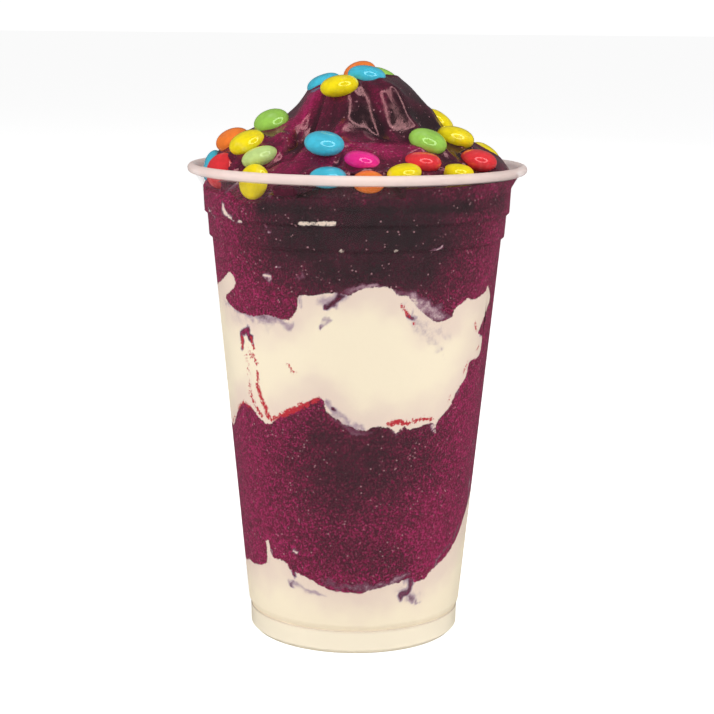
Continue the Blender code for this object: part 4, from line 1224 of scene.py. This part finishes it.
class ACAI_CUP_OT_stage(bpy.types.Operator):
    """Set the floor, the lights and the camera"""

    bl_idname = "acai_cup.stage"
    bl_label = "Stage"

    def execute(self, context):
        settings = context.scene.acai_cup.stage
        context.scene.view_settings.view_transform = "Standard"
        self.add_room(context, settings)
        self.add_floor(context, settings)
        self.add_ring_lamp(context, settings)
        self.add_lamp(context, "Left panel", (-1.2, -0.2, 0.45), (1.2, 1.1), settings.left_light)
        self.add_lamp(context, "Right panel", (1.2, -0.1, 0.45), (1.2, 1.1), settings.right_light)
        self.add_lamp(context, "Front panel", (0.1, -1.2, 0.5), (1.2, 0.8), settings.front_light)
        self.add_lamp(context, "Back panel", (0.9, 1.0, 0.8), (1.2, 1.0), settings.back_light)
        camera = bpy.data.objects.new("Camera", bpy.data.cameras.new("Camera"))
        camera.data.lens, camera.data.sensor_width = settings.lens, SENSOR
        camera.data.clip_start = 0.01
        place = Matrix.Translation((settings.side, -settings.distance, settings.height))
        tilt = Matrix.Rotation(math.pi / 2 - settings.pitch, 4, "X") @ Matrix.Rotation(settings.roll, 4, "Z")
        camera.matrix_world = place @ tilt
        context.scene.collection.objects.link(camera)
        context.scene.camera = camera
        return {"FINISHED"}

    @staticmethod
    def add_room(context, settings):
        """Surround the scene with even white."""
        world = bpy.data.worlds.new("White room")
        world.use_nodes = True
        nodes, links = world.node_tree.nodes, world.node_tree.links
        path = nodes.new("ShaderNodeLightPath")
        strength = settings.room_light
        for ray, brightness in (("Is Glossy Ray", settings.room_gloss), ("Is Camera Ray", 1.05)):
            choose = nodes.new("ShaderNodeMix")
            links.new(path.outputs[ray], choose.inputs[0])
            if isinstance(strength, float):
                choose.inputs[2].default_value = strength
            else:
                links.new(strength, choose.inputs[2])
            choose.inputs[3].default_value = brightness
            strength = choose.outputs[0]
        links.new(strength, nodes["Background"].inputs["Strength"])
        nodes["Background"].inputs["Color"].default_value = (1, 1, 1, 1)
        context.scene.world = world

    @staticmethod
    def add_floor(context, settings):
        """Lay the pale floor."""
        shape = bmesh.new()
        bmesh.ops.create_grid(shape, x_segments=1, y_segments=1, size=60.0)
        mesh = bpy.data.meshes.new("floor")
        shape.to_mesh(mesh)
        shape.free()
        finish = Finish("Pale floor")
        dull = tuple(channel * 0.99 for channel in settings.floor_colour)
        paper = finish.blend(finish.grain(40.0, 2.0), settings.floor_colour, dull)
        plain = {"Base Color": paper, "Roughness": 0.9, "Specular IOR Level": 0.0}
        whitened = {**plain, "Emission Color": (1, 1, 1, 1), "Emission Strength": settings.floor_glow}
        mesh.materials.append(finish.surface(finish.node("ShaderNodeMixShader", {}, {
            0: finish.node("ShaderNodeLightPath"),
            1: finish.node("ShaderNodeBsdfPrincipled", {}, plain),
            2: finish.node("ShaderNodeBsdfPrincipled", {}, whitened)})))
        floor = bpy.data.objects.new("floor", mesh)
        floor.visible_glossy = False
        context.scene.collection.objects.link(floor)

    @staticmethod
    def add_ring_lamp(context, settings):
        """Hang a large thin ring lamp over the cup, a little to the front right."""
        shape = bmesh.new()
        bmesh.ops.create_circle(shape, cap_ends=True, segments=96, radius=RING_LAMP_RADIUS)
        rim = bmesh.ops.inset_region(shape, faces=shape.faces[:], thickness=RING_LAMP_WIDTH,
                                     use_even_offset=True, use_boundary=True)
        middle = [face for face in shape.faces if face not in rim["faces"]]
        bmesh.ops.delete(shape, geom=middle, context="FACES_ONLY")
        lean = Matrix.Rotation(math.pi / 2 - settings.ring_height, 4, "X")
        aim = Matrix.Rotation(settings.ring_azimuth, 4, "Z") @ lean
        away = Matrix.Translation((0, 0, RING_LAMP_DISTANCE))
        place = Matrix.Translation((0, 0, RING_LAMP_AIM)) @ aim @ away
        bmesh.ops.transform(shape, matrix=place, verts=shape.verts[:])
        mesh = bpy.data.meshes.new("ring_lamp")
        shape.to_mesh(mesh)
        shape.free()
        finish = Finish("Ring lamp")
        glow = {"Color": (1, 1, 1, 1), "Strength": settings.ring_light}
        mesh.materials.append(finish.surface(finish.node("ShaderNodeEmission", {}, glow)))
        lamp = bpy.data.objects.new("ring_lamp", mesh)
        lamp.visible_camera = False
        context.scene.collection.objects.link(lamp)

    @staticmethod
    def add_lamp(context, name, place, size, power):
        """Hang one soft lamp that faces the cup."""
        light = bpy.data.lights.new(name, "AREA")
        light.shape, light.size, light.size_y, light.energy = "RECTANGLE", size[0], size[1], power
        lamp = bpy.data.objects.new(name, light)
        towards = Vector((0, 0, PANEL_AIM)) - Vector(place)
        lamp.matrix_world = Matrix.Translation(place) @ towards.to_track_quat("-Z", "Y").to_matrix().to_4x4()
        lamp.visible_glossy = False
        context.scene.collection.objects.link(lamp)


class ACAI_CUP_PT_panel(bpy.types.Panel):
    """Lists the cup's pieces and settings"""

    bl_label = "Acai Cup"
    bl_idname = "ACAI_CUP_PT_panel"
    bl_space_type = "VIEW_3D"
    bl_region_type = "UI"
    bl_category = "Acai Cup"

    def draw(self, context):
        settings = context.scene.acai_cup
        for operator, group in ((ACAI_CUP_OT_plastic, settings.plastic), (ACAI_CUP_OT_creams, settings.cream),
                                (ACAI_CUP_OT_acai, settings.acai), (ACAI_CUP_OT_candies, settings.candies),
                                (ACAI_CUP_OT_stage, settings.stage)):
            box = self.layout.box()
            box.operator(operator.bl_idname)
            for name in group.bl_rna.properties.keys():
                if name not in {"rna_type", "name"}:
                    box.prop(group, name)


CLASSES = (AcaiCupPlastic, AcaiCupCream, AcaiCupAcai, AcaiCupCandies, AcaiCupStage, AcaiCupSettings,
           ACAI_CUP_OT_plastic, ACAI_CUP_OT_creams, ACAI_CUP_OT_acai, ACAI_CUP_OT_candies, ACAI_CUP_OT_stage,
           ACAI_CUP_PT_panel)


def register():
    """Add the settings, operators and panel to Blender."""
    for kind in CLASSES:
        bpy.utils.register_class(kind)
    bpy.types.Scene.acai_cup = PointerProperty(type=AcaiCupSettings, name="Acai cup",
                                               description="The acai cup's settings")


def unregister():
    """Take them away again."""
    del bpy.types.Scene.acai_cup
    for kind in reversed(CLASSES):
        bpy.utils.unregister_class(kind)


def main():
    """Build every piece and the stage."""
    register()
    bpy.ops.acai_cup.plastic()
    bpy.ops.acai_cup.creams()
    bpy.ops.acai_cup.acai()
    bpy.ops.acai_cup.candies()
    bpy.ops.acai_cup.stage()


if __name__ == "__main__":
    main()
